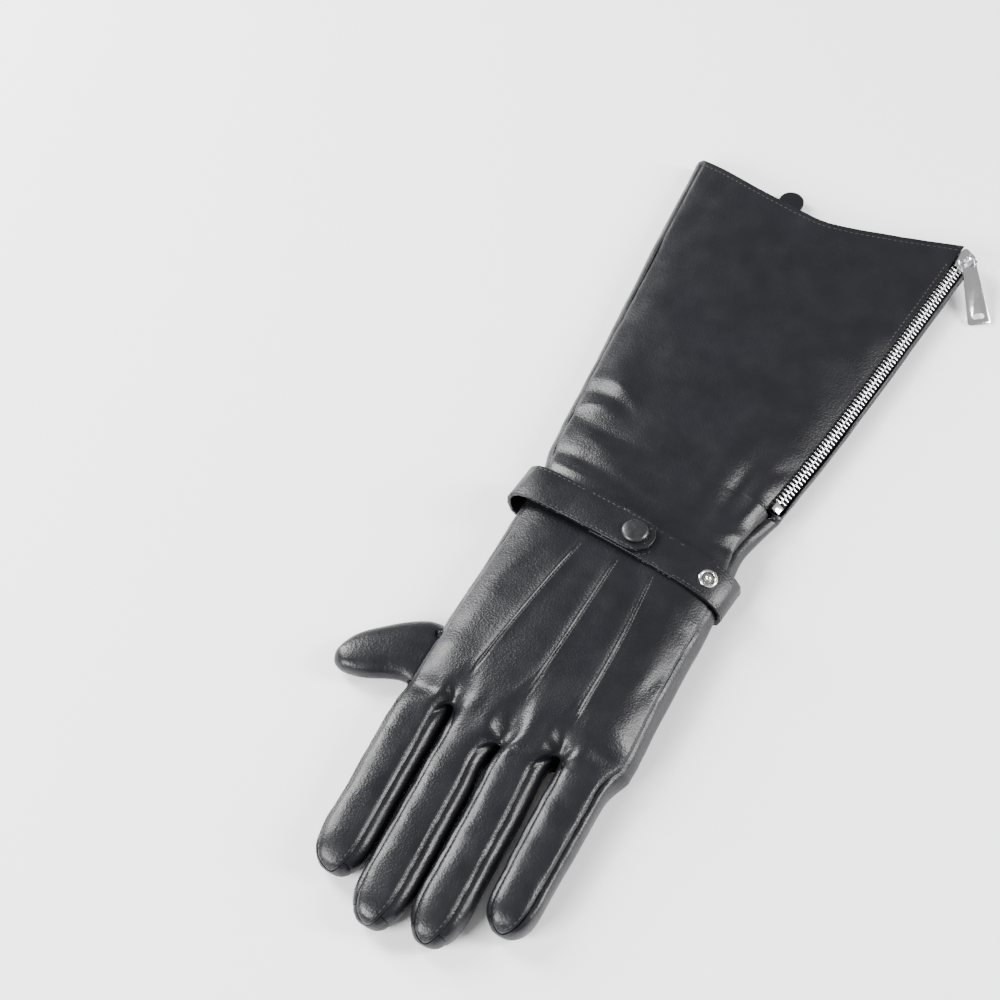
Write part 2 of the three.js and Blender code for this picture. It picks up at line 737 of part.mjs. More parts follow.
function thumbSkin(outset) {
  const skin = new Skin();
  const sides = 12;
  const rings = thumbStations.map((station, row) => {
    const centre = {
      x: thumbRootX - station.across * thumbReach + (row === 0 && outset > 0 ? 1 : 0),
      y: thumbRootY - station.along * thumbReach,
    };
    const turn = radians(station.turn);
    const half = (station.width * thumbWidth) / 2 + outset;
    const depth = station.depth * thumbDepth;
    const middle = thumbRest + thumbDepth * 0.48;
    return Array.from({ length: sides }, (_, side) => {
      const { across, up } = roundSection(15 - (side * 360) / sides, 2.4);
      const height = middle + up * (depth / 2 + outset);
      return skin.point(
        centre.x - across * half * Math.sin(turn),
        centre.y + across * half * Math.cos(turn),
        outset > 0 ? height : Math.max(height, thumbRest),
      );
    });
  });
  rings.slice(1).forEach((far, row) => {
    const near = rings[row];
    near.forEach((index, step) => {
      const next = (step + 1) % sides;
      skin.quad(index, near[next], far[next], far[step], "thumb");
    });
  });
  const tip = skin.point(
    thumbRootX - thumbTip.across * thumbReach,
    thumbRootY - thumbTip.along * thumbReach,
    thumbRest + thumbDepth * 0.42,
  );
  const last = rings[rings.length - 1];
  last.forEach((index, step) => skin.triangle(tip, index, last[(step + 1) % sides], "thumb"));
  if (outset > 0) skin.cap([...rings[0]].reverse(), "thumb");
  return skin;
}

// The zip's own directions at a distance along it: along the chain, across it to the palm, and outwards.
function zipFrame(y) {
  const step = 2;
  const before = seamPoint(y - step);
  const after = seamPoint(y + step);
  const along = new THREE.Vector3(after.x - before.x, 2 * step, after.z - before.z).normalize();
  const tilt = radians(zipTilt);
  const rough = new THREE.Vector3(Math.cos(tilt), 0, -Math.sin(tilt));
  const out = new THREE.Vector3().crossVectors(rough, along).normalize();
  const across = new THREE.Vector3().crossVectors(along, out);
  const centre = seamPoint(y);
  return { origin: new THREE.Vector3(centre.x, y, centre.z), along, across, out };
}

function zipPoint(frame, across, out) {
  return frame.origin.clone().addScaledVector(frame.across, across).addScaledVector(frame.out, out);
}

const stopStart = zipStart + 2;
const chainStart = stopStart + stopLength + 0.4;
const chainEnd = sliderY - 0.5;

// A tape lies under the leather edge and reaches to the middle of the zip, or beside the slider's neck.
function tapeGeometry(side) {
  const skin = new Skin();
  const rows = 9;
  const foot = zipStart + 1.8;
  const notchY = sliderY - 1;
  const straight = Array.from({ length: rows + 1 }, (_, row) => mix(foot, sliderY - 5, row / rows));
  const stations = side < 0 ? [...straight, notchY, sliderY + 2.5] : straight;
  const top = chainBottom - 0.3;
  let outline = [];
  const rings = stations.map((y) => {
    const frame = zipFrame(y);
    const inner = y > notchY ? 2.2 : 0.15;
    const profile = side > 0
      ? [
          [inner, top],
          [slitHalf - 0.9, top],
          [slitHalf + 0.1, top - 1],
          [slitHalf + 0.5, top - 2.6],
          [slitHalf - 0.1, top - 2.7],
          [slitHalf - 0.5, top - 1.25],
          [slitHalf - 1.2, top - tapeThick],
          [inner, top - tapeThick],
        ]
      : [
          [inner, top],
          [slitHalf - 0.4, top],
          [slitHalf + tapeUnder, top - 1.3],
          [slitHalf + tapeUnder, top - 1.3 - tapeThick],
          [slitHalf - 0.4, top - tapeThick],
          [inner, top - tapeThick],
        ];
    outline = side < 0 ? [...profile].reverse() : profile;
    return outline.map(([across, out]) => {
      const spot = zipPoint(frame, side * across, out);
      return skin.point(spot.x, spot.y, spot.z);
    });
  });
  closeTube(skin, rings, outline);
  return skin.geometry();
}

// One row of teeth, fused to the bead of metal and cord that carries them.
function teethGeometry(side) {
  const shift = side > 0 ? toothPitch / 2 : 0;
  const count = Math.floor((chainEnd - chainStart - shift) / toothPitch);
  const rim = chainWidth / 2;
  const bead = rim - 0.85;
  const positions = [];
  const addCorner = (across, y) => {
    for (const out of [chainTop, chainBottom]) {
      const spot = zipPoint(zipFrame(y), side * across, out);
      positions.push(spot.x, spot.y, spot.z);
    }
    return { index: positions.length / 6 - 1, flat: new THREE.Vector2(across, y) };
  };
  const toothY = (tooth) => chainStart + shift + tooth * toothPitch;
  const indices = [];
  const top = (corner) => corner.index * 2;
  const addFace = (a, b, c) => (side > 0 ? indices.push(a, b, c) : indices.push(a, c, b));
  const addWall = (a, b) => {
    addFace(top(b), top(a), top(a) + 1);
    addFace(top(b), top(a) + 1, top(b) + 1);
  };
  let rimStart = addCorner(rim, toothY(0));
  let beadStart = addCorner(bead, toothY(0));
  addWall(beadStart, rimStart);
  for (let first = 0; first < count; first += teethPerStep) {
    const group = Math.min(teethPerStep, count - first);
    const inner = [beadStart];
    for (let tooth = first; tooth < first + group; tooth += 1) {
      const y = toothY(tooth);
      if (tooth > first) inner.push(addCorner(bead, y));
      inner.push(addCorner(-toothOverlap, y + 0.1));
      inner.push(addCorner(-toothOverlap, y + toothThick - 0.1));
      inner.push(addCorner(bead, y + toothThick));
    }
    const isLast = first + group >= count;
    if (!isLast) inner.push(addCorner(bead, toothY(first + group)));
    const beadEnd = inner[inner.length - 1];
    const rimEnd = addCorner(rim, beadEnd.flat.y);
    const contour = [rimStart, rimEnd, ...[...inner].reverse()];
    for (const corners of THREE.ShapeUtils.triangulateShape(contour.map((corner) => corner.flat), [])) {
      const [a, b, c] = corners.map((corner) => top(contour[corner]));
      addFace(a, b, c);
      addFace(a + 1, c + 1, b + 1);
    }
    addWall(rimStart, rimEnd);
    for (let step = inner.length - 1; step > 0; step -= 1) addWall(inner[step], inner[step - 1]);
    if (isLast) addWall(rimEnd, beadEnd);
    rimStart = rimEnd;
    beadStart = beadEnd;
  }
  return geometryOf(positions, indices);
}

function boxAt(width, length, height, x, y, z) {
  const box = new THREE.BoxGeometry(width, length, height);
  box.translate(x, y, z);
  return box;
}

// Sets a mesh that is modelled across +X, along +Y and outwards +Z on the zip.
function setOnZip(mesh, y) {
  const frame = zipFrame(y);
  const basis = new THREE.Matrix4().makeBasis(frame.across, frame.along, frame.out);
  mesh.quaternion.setFromRotationMatrix(basis);
  mesh.position.copy(frame.origin);
  return mesh;
}

function extrudeFlat(shape, thick, curveSegments = 5) {
  return new THREE.ExtrudeGeometry(shape, { depth: thick, bevelEnabled: false, curveSegments });
}

const plateUnder = chainTop + 0.3;
const plateTop = plateUnder + sliderPlate;
const tapeBottom = chainBottom - 0.3 - tapeThick;

function sliderGeometry() {
  const half = sliderWidth / 2;
  const end = sliderLength / 2;
  const outline = new THREE.Shape();
  outline.moveTo(-half * 0.72, -end);
  outline.lineTo(half * 0.72, -end);
  outline.lineTo(half, end * 0.35);
  outline.quadraticCurveTo(half, end, half * 0.45, end);
  outline.lineTo(-half * 0.45, end);
  outline.quadraticCurveTo(-half, end, -half, end * 0.35);
  outline.closePath();
  const topPlate = extrudeFlat(outline, sliderPlate, 4);
  topPlate.translate(0, 0, plateUnder);
  const footPlate = extrudeFlat(outline, sliderPlate, 4);
  footPlate.translate(0, 0, tapeBottom - 0.9 - sliderPlate);
  const neckLength = 3.4;
  const neckFoot = tapeBottom - 0.9 - sliderPlate / 2;
  const neckHeight = plateUnder + 0.3 - neckFoot;
  const neck = boxAt(2.6, neckLength, neckHeight, 0, end - neckLength / 2 - 0.4, neckFoot + neckHeight / 2);
  const flangeX = chainWidth / 2 + 0.5;
  const flangeTop = plateUnder + 0.2;
  const flangeHeight = flangeTop - (chainBottom + 0.25);
  const flanges = [-1, 1].map((side) =>
    boxAt(0.6, sliderLength * 0.62, flangeHeight, side * flangeX, 0.2, flangeTop - flangeHeight / 2),
  );
  const arch = new THREE.Shape();
  const reach = bridgeLength / 2;
  const crown = bridgeWindow + bridgeThick;
  arch.moveTo(-reach, -0.3);
  arch.lineTo(reach, -0.3);
  arch.lineTo(reach, crown * 0.62);
  arch.quadraticCurveTo(reach, crown, reach * 0.4, crown);
  arch.lineTo(-reach * 0.4, crown);
  arch.quadraticCurveTo(-reach, crown, -reach, crown * 0.62);
  arch.closePath();
  const window = new THREE.Path();
  const inner = reach - bridgeThick;
  window.moveTo(-inner, 0.02);
  window.lineTo(-inner, bridgeWindow * 0.72);
  window.quadraticCurveTo(-inner, bridgeWindow, -inner * 0.4, bridgeWindow);
  window.lineTo(inner * 0.4, bridgeWindow);
  window.quadraticCurveTo(inner, bridgeWindow, inner, bridgeWindow * 0.72);
  window.lineTo(inner, 0.02);
  window.closePath();
  arch.holes.push(window);
  const bridge = extrudeFlat(arch, bridgeWidth, 3);
  bridge.translate(0, 0, -bridgeWidth / 2);
  bridge.rotateX(Math.PI / 2);
  bridge.rotateZ(Math.PI / 2);
  bridge.translate(0, 0, plateTop);
  return geometryOfSolid(joined([topPlate, footPlate, neck, ...flanges, bridge]));
}

// The pull's eye hangs in the bridge; its foot rests on the table beside the hem.
const pullHeading = -53.6;

function pullGeometry() {
  const shape = new THREE.Shape();
  const eyeHalf = pullEye / 2;
  const footHalf = pullFoot / 2;
  const round = 1.6;
  shape.moveTo(-eyeHalf, eyeBar / 2);
  shape.lineTo(eyeHalf, eyeBar / 2);
  shape.lineTo(eyeHalf, -eyeLength - 1.5);
  shape.lineTo(footHalf, -pullLength + round);
  shape.quadraticCurveTo(footHalf, -pullLength, footHalf - round, -pullLength);
  shape.lineTo(-footHalf + round, -pullLength);
  shape.quadraticCurveTo(-footHalf, -pullLength, -footHalf, -pullLength + round);
  shape.lineTo(-eyeHalf, -eyeLength - 1.5);
  shape.closePath();
  const eye = new THREE.Path();
  const open = eyeHalf - 0.75;
  eye.moveTo(-open, -eyeBar / 2);
  eye.lineTo(-open, -eyeLength);
  eye.lineTo(open, -eyeLength);
  eye.lineTo(open, -eyeBar / 2);
  eye.closePath();
  const slot = new THREE.Path();
  const slotHalf = pullFoot * 0.27;
  const slotY = -pullLength + 4.2;
  const slotRound = 1.35;
  slot.absarc(slotHalf - slotRound, slotY, slotRound, -Math.PI / 2, Math.PI / 2, false);
  slot.absarc(-slotHalf + slotRound, slotY, slotRound, Math.PI / 2, Math.PI * 1.5, false);
  slot.closePath();
  shape.holes.push(eye, slot);
  const plate = extrudeFlat(shape, pullThick, 4);
  plate.translate(0, 0, -pullThick / 2);
  return plate;
}

function pullMesh(geometry, material) {
  const frame = zipFrame(sliderY);
  const heading = radians(pullHeading);
  const seat = zipPoint(frame, 0, plateTop + bridgeWindow * 0.6);
  const slope = -Math.asin((seat.z - pullRest) / pullLength);
  const down = new THREE.Vector3(
    Math.cos(heading) * Math.cos(slope),
    Math.sin(heading) * Math.cos(slope),
    Math.sin(slope),
  );
  const across = new THREE.Vector3(-Math.sin(heading), Math.cos(heading), 0);
  const out = new THREE.Vector3().crossVectors(across, down.clone().negate()).normalize();
  const mesh = new THREE.Mesh(geometry, material);
  mesh.quaternion.setFromRotationMatrix(new THREE.Matrix4().makeBasis(across, down.clone().negate(), out));
  mesh.position.copy(seat);
  return mesh;
}

// The strap's line round the wrist, seen along the arm: angle on the wrist's section and distance from it.
function wristLine(degrees, out) {
  const section = sectionAt(strapY - 8);
  const at = (angle) => {
    const { across, up } = roundSection(angle, topBow);
    const under = roundSection(angle, underBow);
    const x = section.middle + section.half * (up < 0 ? under.across : across);
    const z = up < 0
      ? section.side + (section.side - section.lift + settle) * under.up
      : section.side + (section.top - section.side) * up;
    return new THREE.Vector2(x, z);
  };
  const spot = at(degrees);
  const run = at(degrees - 0.5).sub(at(degrees + 0.5));
  const normal = new THREE.Vector2(-run.y, run.x).normalize();
  return spot.addScaledVector(normal, out);
}

// Turns of the strap. angle: place round the wrist; out: distance of its middle from the leather, as a
// share of the strap's thickness.
const strapTurns = [
  { angle: 101, out: 0.8 },
  { angle: 60, out: 0.85 },
  { angle: 20, out: 1.1 },
  { angle: 0, out: 1.4 },
  { angle: -30, out: 1.35 },
  { angle: -60, out: 0.85 },
  { angle: -140, out: 1.1 },
  { angle: -165, out: 1.6 },
  { angle: -180, out: 2.9 },
  { angle: -200, out: 3.7 },
  { angle: -222, out: 2.9 },
  { angle: -240, out: 2.1 },
  { angle: -255, out: 2.05 },
  { angle: -280, out: 2.05 },
];

function strapPath() {
  const points = [];
  const first = strapTurns[0].angle;
  const last = strapTurns[strapTurns.length - 1].angle;
  const reversed = strapTurns.map((turn) => ({ at: -turn.angle, out: turn.out }));
  for (let angle = first; angle >= last; angle -= 3) {
    points.push(wristLine(angle, curveValue(reversed, -angle, "at", "out") * strapThick));
  }
  return new THREE.SplineCurve(points);
}

const strapSteps = 62;

function strapPoint(spot, across) {
  const turn = radians(strapTurn);
  const shift = new THREE.Vector3(Math.sin(turn), Math.cos(turn), 0).multiplyScalar(across);
  return new THREE.Vector3(
    spot.x * Math.cos(turn) + shift.x,
    strapY - spot.x * Math.sin(turn) + shift.y,
    spot.y,
  );
}

function strapGeometry(path) {
  const skin = new Skin();
  const length = path.getLength();
  const tipShares = [0.35, 0.7, 0.92];
  const shares = Array.from({ length: strapSteps }, (_, step) => step / strapSteps);
  const tipStart = 1 - strapWidth / 2 / length;
  const stations = shares.filter((share) => share < tipStart - 0.01);
  stations.push(tipStart, ...tipShares.map((share) => mix(tipStart, 1, share)), 1);
  const square = [[1, 1], [1, 0], [0, 0], [0, 1]];
  const rings = stations.map((share) => {
    const spot = path.getPointAt(share);
    const run = path.getTangentAt(share);
    const normal = new THREE.Vector2(-run.y, run.x).multiplyScalar(strapThick / 2);
    const past = Math.max(share - tipStart, 0) * length;
    const half = Math.sqrt(Math.max((strapWidth / 2) ** 2 - past ** 2, 1.5));
    return [
      strapPoint(spot.clone().add(normal), half),
      strapPoint(spot.clone().add(normal), -half),
      strapPoint(spot.clone().sub(normal), -half),
      strapPoint(spot.clone().sub(normal), half),
    ].map((corner) => skin.point(corner.x, corner.y, corner.z));
  });
  closeTube(skin, rings, square);
  return skin.geometry();
}

// Sets a fastener that is modelled along +Y on the strap, where its path passes a distance across the wrist.
function setOnStrap(mesh, path, share, out) {
  const spot = path.getPointAt(share);
  const run = path.getTangentAt(share);
  const normal = new THREE.Vector2(-run.y, run.x);
  const seat = strapPoint(spot.clone().addScaledVector(normal, strapThick / 2 + out), 0);
  const turn = radians(strapTurn);
  const up = new THREE.Vector3(normal.x * Math.cos(turn), -normal.x * Math.sin(turn), normal.y);
  mesh.quaternion.setFromUnitVectors(new THREE.Vector3(0, 1, 0), up);
  mesh.position.copy(seat);
  return mesh;
}

function capGeometry() {
  const profile = [
    [0, 0],
    [capRadius * 0.9, 0],
    [capRadius, capHeight * 0.22],
    [capRadius, capHeight * 0.5],
    [capRadius * 0.86, capHeight * 0.82],
    [capRadius * 0.5, capHeight * 0.97],
    [0, capHeight],
  ];
  return new THREE.LatheGeometry(profile.map(([r, h]) => new THREE.Vector2(r, h)), 20);
}

function studGeometry() {
  const ball = studRadius * 0.3;
  const profile = [
    [0, 0],
    [studRadius, 0],
    [studRadius, studHeight * 0.2],
    [studRadius * 0.86, studHeight * 0.4],
    [studRadius * 0.66, studHeight * 0.3],
    [studRadius * 0.56, studHeight * 0.16],
    [ball * 0.8, studHeight * 0.2],
    [ball * 0.8, studHeight * 0.5],
    [ball, studHeight * 0.74],
    [ball * 0.6, studHeight * 0.95],
    [0, studHeight],
  ];
  return new THREE.LatheGeometry(profile.map(([r, h]) => new THREE.Vector2(r, h)), 20);
}

function tabGeometry() {
  const half = tabWidth / 2;
  const shape = new THREE.Shape();
  shape.moveTo(-half, 0);
  shape.lineTo(half, 0);
  shape.lineTo(half, tabLength - half);
  shape.absarc(0, tabLength - half, half, 0, Math.PI, false);
  shape.closePath();
  return extrudeFlat(shape, tabThick, 10);
}

function stopGeometry() {
  const height = 2.6;
  return boxAt(4.3, stopLength, height, 0, 0, chainBottom + height / 2);
}

function material(colour, roughness, metalness) {
  return new THREE.MeshStandardMaterial({ color: colour, roughness, metalness });
}

const blackLeather = () => material(0x17171b, 0.4, 0);
const darkTape = () => material(0x101012, 0.85, 0);
const chrome = () => material(0xd8d8dc, 0.18, 1);

const glove = new THREE.Group();

function add(name, geometry, surface) {
  const mesh = new THREE.Mesh(geometry, surface);
  mesh.name = name;
  glove.add(mesh);
  return mesh;
}

const skin = gloveSkin();
add("hand_back", skin.sheet("hand_back"), blackLeather());
const thumbHole = solidOf(thumbSkin(seamGap).geometry());
add("hand_palm", geometryOfSolid(solidOf(skin.sheet("hand_palm")).subtract(thumbHole)), blackLeather());
for (const line of pointLines) {
  const name = "fourchette_" + line.name;
  add(name, skin.sheet(name), blackLeather());
}
add("thumb", thumbSkin(0).sheet("thumb", 0), blackLeather());
add("cuff_back", skin.sheet("cuff_back"), blackLeather());
add("cuff_palm", skin.sheet("cuff_palm"), blackLeather());

const tab = add("hem_tab", tabGeometry(), blackLeather());
tab.position.set(tabX, wristY + cuffLength + tabReach - tabLength, hemFold + seamGap);

const strapLine = strapPath();
add("wrist_strap", strapGeometry(strapLine), blackLeather());
const strapLength = strapLine.getLength();
const capShare = 1 - 9 / strapLength;
const studShare = 54.5 / strapLength;
setOnStrap(add("snap_cap", capGeometry(), blackLeather()), strapLine, capShare, seamGap);
setOnStrap(add("snap_stud", studGeometry(), chrome()), strapLine, studShare, seamGap);

add("zip_tape_back", tapeGeometry(-1), darkTape());
add("zip_tape_palm", tapeGeometry(1), darkTape());
add("zip_teeth_back", teethGeometry(-1), chrome());
add("zip_teeth_palm", teethGeometry(1), chrome());
setOnZip(add("zip_bottom_stop", stopGeometry(), chrome()), stopStart + stopLength / 2);
setOnZip(add("zip_slider", sliderGeometry(), chrome()), sliderY);
const pull = pullMesh(pullGeometry(), chrome());
pull.name = "zip_pull";
glove.add(pull);

export default glove;
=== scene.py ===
import math

import bmesh
import bpy
import numpy as np
from mathutils import Matrix, Vector, noise
from mathutils.bvhtree import BVHTree
from mathutils.kdtree import KDTree


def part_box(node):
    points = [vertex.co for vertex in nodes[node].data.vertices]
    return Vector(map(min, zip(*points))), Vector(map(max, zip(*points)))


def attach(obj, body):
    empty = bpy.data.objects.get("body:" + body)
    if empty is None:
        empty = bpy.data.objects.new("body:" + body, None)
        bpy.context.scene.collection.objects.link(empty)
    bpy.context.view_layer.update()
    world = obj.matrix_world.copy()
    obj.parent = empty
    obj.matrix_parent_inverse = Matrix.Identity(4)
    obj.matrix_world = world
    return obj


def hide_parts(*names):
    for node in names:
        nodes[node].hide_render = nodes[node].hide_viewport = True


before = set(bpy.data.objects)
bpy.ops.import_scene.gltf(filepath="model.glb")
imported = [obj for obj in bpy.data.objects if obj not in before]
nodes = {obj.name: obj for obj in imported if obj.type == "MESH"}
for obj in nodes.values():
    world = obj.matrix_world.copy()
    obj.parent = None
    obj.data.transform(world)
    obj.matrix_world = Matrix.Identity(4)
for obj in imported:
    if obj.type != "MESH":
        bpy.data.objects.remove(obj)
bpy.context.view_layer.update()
mm = 0.001
root = "root"

# rough middle lines of the hollow, in mm: the outer leather faces away from them
fingerLines = {
    "index": {"root": -33.3, "mid": -31.3, "tip": -28.9, "end": -134},
    "middle": {"root": -9.4, "mid": -6.7, "tip": -4.7, "end": -146},
    "ring": {"root": 14.4, "mid": 17.0, "tip": 18.9, "end": -142},
    "little": {"root": 40.8, "mid": 41.8, "tip": 42.9, "end": -124},
}
armEdges = {
    "y": [-60, 58, 70, 120, 170, 220, 270, 300],
    "left": [-44, -45, -45.5, -53, -58.5, -63, -68, -71],
    "right": [55, 52.5, 51, 58.5, 64.5, 69, 73.5, 76],
}
thumbAxis = {"from": (-40, -33, 6.5), "to": (-72, -51, 6.5)}
leatherWall = {"plain": 1.4, "hem": 2.4, "crotch": 0.7, "hemWidth": 12}
zipFoot = 100.5
hem = {"low": 262.5, "fold": 12.5, "back": 20.8, "palm": 11.5, "middle": 1, "half": 67}


def deselectAll():
    if bpy.context.mode != "OBJECT":
        bpy.ops.object.mode_set(mode="OBJECT")
    bpy.ops.object.select_all(action="DESELECT")


def takeUp(piece):
    deselectAll()
    piece.select_set(True)
    bpy.context.view_layer.objects.active = piece


def openEdit(piece):
    takeUp(piece)
    bpy.ops.object.mode_set(mode="EDIT")
    bpy.ops.mesh.select_mode(type="FACE")
    bpy.ops.mesh.select_all(action="DESELECT")
    return bmesh.from_edit_mesh(piece.data)


def closeEdit():
    bpy.ops.object.mode_set(mode="OBJECT")


def applyModifier(piece, kind, **settings):
    takeUp(piece)
    modifier = piece.modifiers.new(kind.lower(), kind)
    for key, value in settings.items():
        setattr(modifier, key, value)
    bpy.ops.object.modifier_apply(modifier=modifier.name)


def coordsOf(mesh):
    coords = np.zeros(len(mesh.vertices) * 3)
    mesh.vertices.foreach_get("co", coords)
    return coords.reshape(-1, 3)


def putCoords(mesh, coords):
    mesh.vertices.foreach_set("co", np.asarray(coords, float).ravel())
    mesh.update()


def normalsOf(mesh):
    normals = np.zeros(len(mesh.vertices) * 3)
    mesh.vertices.foreach_get("normal", normals)
    return normals.reshape(-1, 3)


def copyNode(node, name):
    piece = bpy.data.objects.new(name, nodes[node].data.copy())
    bpy.context.scene.collection.objects.link(piece)
    piece.data.materials.clear()
    takeUp(piece)
    bpy.ops.mesh.customdata_custom_splitnormals_clear()
    openEdit(piece)
    bpy.ops.mesh.select_all(action="SELECT")
    bpy.ops.mesh.remove_doubles(threshold=5e-6)
    closeEdit()
    return piece


def finishPiece(piece, materials, slot, *replaced):
    for material in materials:
        piece.data.materials.append(material)
    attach(piece, root)
    if replaced:
        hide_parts(*replaced)
    return piece


def smoothByAngle(piece, degrees=40):
    takeUp(piece)
    bpy.ops.object.shade_smooth_by_angle(angle=math.radians(degrees))


def roundEdges(piece, width, segments=3, angle=35):
    applyModifier(piece, "BEVEL", width=width * mm, segments=segments, limit_method="ANGLE",
                  angle_limit=math.radians(angle))
    smoothByAngle(piece)


# finishes: every pattern is laid out in metres on the piece's own coordinates
leatherLook = {
    "dark": (0.0042, 0.0042, 0.0056, 1), "light": (0.0075, 0.0075, 0.01, 1),
    "gloss": (0.3, 0.44), "grain": 1150, "grainDepth": 0.00018, "crease": 430, "creaseDepth": 0.00024,
    "specular": 0.3, "coat": 0.04, "coatGloss": 0.24,
}
suedeLook = {"dark": (0.012, 0.012, 0.013, 1), "light": (0.03, 0.03, 0.032, 1), "nap": 2600}
metalLook = {"colour": (0.84, 0.84, 0.86, 1), "gloss": (0.1, 0.2), "scratch": 900}
# darker nickel for the stud's dish: its dark colour is painted shade in the hollow, its higher roughness a
# duller finish
dullMetalPaintedShadeLook = {"colour": (0.3, 0.28, 0.27, 1), "gloss": (0.3, 0.42), "scratch": 900}
tapeLook = {"dark": (0.006, 0.006, 0.007, 1), "light": (0.02, 0.02, 0.022, 1), "rib": 0.62}
threadLook = {"colour": (0.008, 0.008, 0.0095, 1), "gloss": 0.55}
enamelLook = {"colour": (0.007, 0.007, 0.009, 1), "gloss": 0.38}


class Finish:
    def __init__(self, name):
        self.material = bpy.data.materials.new(name)
        self.material.use_nodes = True
        self.tree = self.material.node_tree
        self.tree.nodes.clear()
        self.output = self.tree.nodes.new("ShaderNodeOutputMaterial")
        self.shader = self.add("ShaderNodeBsdfPrincipled")
        self.link(self.shader, "BSDF", self.output, "Surface")
        self.place = self.add("ShaderNodeTexCoord")

    def add(self, kind, **values):
        node = self.tree.nodes.new(kind)
        for key, value in values.items():
            if key in node.inputs.keys():
                node.inputs[key].default_value = value
            else:
                setattr(node, key, value)
        return node

    def link(self, source, output, target, entry):
        self.tree.links.new(source.outputs[output], target.inputs[entry])

    def stretched(self, scale):
        mapping = self.add("ShaderNodeMapping", Scale=scale)
        self.link(self.place, "Object", mapping, "Vector")
        return mapping

    def noise(self, scale, detail=3.0, roughness=0.5, mapping=None):
        node = self.add("ShaderNodeTexNoise", Scale=scale, Detail=detail, Roughness=roughness)
        if mapping is None:
            self.link(self.place, "Object", node, "Vector")
        else:
            self.link(mapping, "Vector", node, "Vector")
        return node

    def ramp(self, source, output, low, high, dark, light):
        node = self.add("ShaderNodeMapRange")
        node.inputs["From Min"].default_value = low
        node.inputs["From Max"].default_value = high
        node.inputs["To Min"].default_value = dark
        node.inputs["To Max"].default_value = light
        self.link(source, output, node, "Value")
        return node

    def tint(self, source, output, dark, light):
        node = self.add("ShaderNodeMix", data_type="RGBA")
        node.inputs[6].default_value = dark
        node.inputs[7].default_value = light
        self.tree.links.new(source.outputs[output], node.inputs[0])
        self.tree.links.new(node.outputs[2], self.shader.inputs["Base Color"])

    def bump(self, source, output, depth, strength=1.0, under=None):
        node = self.add("ShaderNodeBump", Strength=strength, Distance=depth)
        self.link(source, output, node, "Height")
        if under is not None:
            self.link(under, "Normal", node, "Normal")
        self.link(node, "Normal", self.shader, "Normal")
        return node


def makeLeather(look):
    finish = Finish("blackLeather")
    cloud = finish.noise(38, detail=4)
    finish.tint(cloud, "Fac", look["dark"], look["light"])
    sheen = finish.noise(75, detail=5, roughness=0.6)
    gloss = finish.ramp(sheen, "Fac", 0.3, 0.7, *look["gloss"])
    finish.link(gloss, "Result", finish.shader, "Roughness")
    crease = finish.noise(look["crease"], detail=6, roughness=0.62, mapping=finish.stretched((0.45, 1, 1)))
    slack = finish.bump(crease, "Fac", look["creaseDepth"], 0.4)
    cells = finish.add("ShaderNodeTexVoronoi", Scale=look["grain"], feature="SMOOTH_F1", Smoothness=0.6)
    finish.link(finish.place, "Object", cells, "Vector")
    finish.bump(cells, "Distance", look["grainDepth"], 0.5, under=slack)
    finish.shader.inputs["Specular IOR Level"].default_value = look["specular"]
    finish.shader.inputs["Coat Weight"].default_value = look["coat"]
    finish.shader.inputs["Coat Roughness"].default_value = look["coatGloss"]
    return finish.material


def makeSuede(look):
    finish = Finish("leatherInside")
    nap = finish.noise(look["nap"], detail=2)
    finish.tint(nap, "Fac", look["dark"], look["light"])
    finish.bump(nap, "Fac", 0.0002, 0.6)
    finish.shader.inputs["Roughness"].default_value = 0.92
    finish.shader.inputs["Sheen Weight"].default_value = 0.25
    return finish.material


def makeMetal(look, name="polishedNickel"):
    finish = Finish(name)
    finish.shader.inputs["Base Color"].default_value = look["colour"]
    finish.shader.inputs["Metallic"].default_value = 1.0
    haze = finish.noise(160, detail=4)
    gloss = finish.ramp(haze, "Fac", 0.3, 0.7, *look["gloss"])
    finish.link(gloss, "Result", finish.shader, "Roughness")
    scratch = finish.noise(look["scratch"], detail=5, mapping=finish.stretched((1, 0.15, 1)))
    finish.bump(scratch, "Fac", 0.00003, 0.2)
    return finish.material


def makeTape(look):
    finish = Finish("zipTape")
    size = 1000 / look["rib"]
    rib = finish.add("ShaderNodeTexWave", wave_type="BANDS", bands_direction="Y",
                     Scale=size / 6.283, Distortion=0.6)
    finish.link(finish.place, "Object", rib, "Vector")
    thread = finish.add("ShaderNodeTexWave", wave_type="BANDS", bands_direction="X",
                        Scale=size / 5, Distortion=0.4)
    finish.link(finish.place, "Object", thread, "Vector")
    finish.tint(rib, "Fac", look["dark"], look["light"])
    across = finish.bump(rib, "Fac", 0.00018, 0.8)
    finish.bump(thread, "Fac", 0.00012, 0.6, under=across)
    finish.shader.inputs["Roughness"].default_value = 0.82
    finish.shader.inputs["Sheen Weight"].default_value = 0.15
    return finish.material


def makeThread(look):
    finish = Finish("blackThread")
    finish.shader.inputs["Base Color"].default_value = look["colour"]
    finish.shader.inputs["Roughness"].default_value = look["gloss"]
    twist = finish.noise(3200, detail=1)
    finish.bump(twist, "Fac", 0.00008, 0.6)
    return finish.material


def makeEnamel(look):
    finish = Finish("blackEnamel")
    finish.shader.inputs["Base Color"].default_value = look["colour"]
    finish.shader.inputs["Coat Weight"].default_value = 0.15
    finish.shader.inputs["Coat Roughness"].default_value = 0.3
    flow = finish.noise(420, detail=2)
    gloss = finish.ramp(flow, "Fac", 0.3, 0.7, look["gloss"] * 0.8, look["gloss"] * 1.3)
    finish.link(gloss, "Result", finish.shader, "Roughness")
    finish.bump(flow, "Fac", 0.00006, 0.25)
    return finish.material


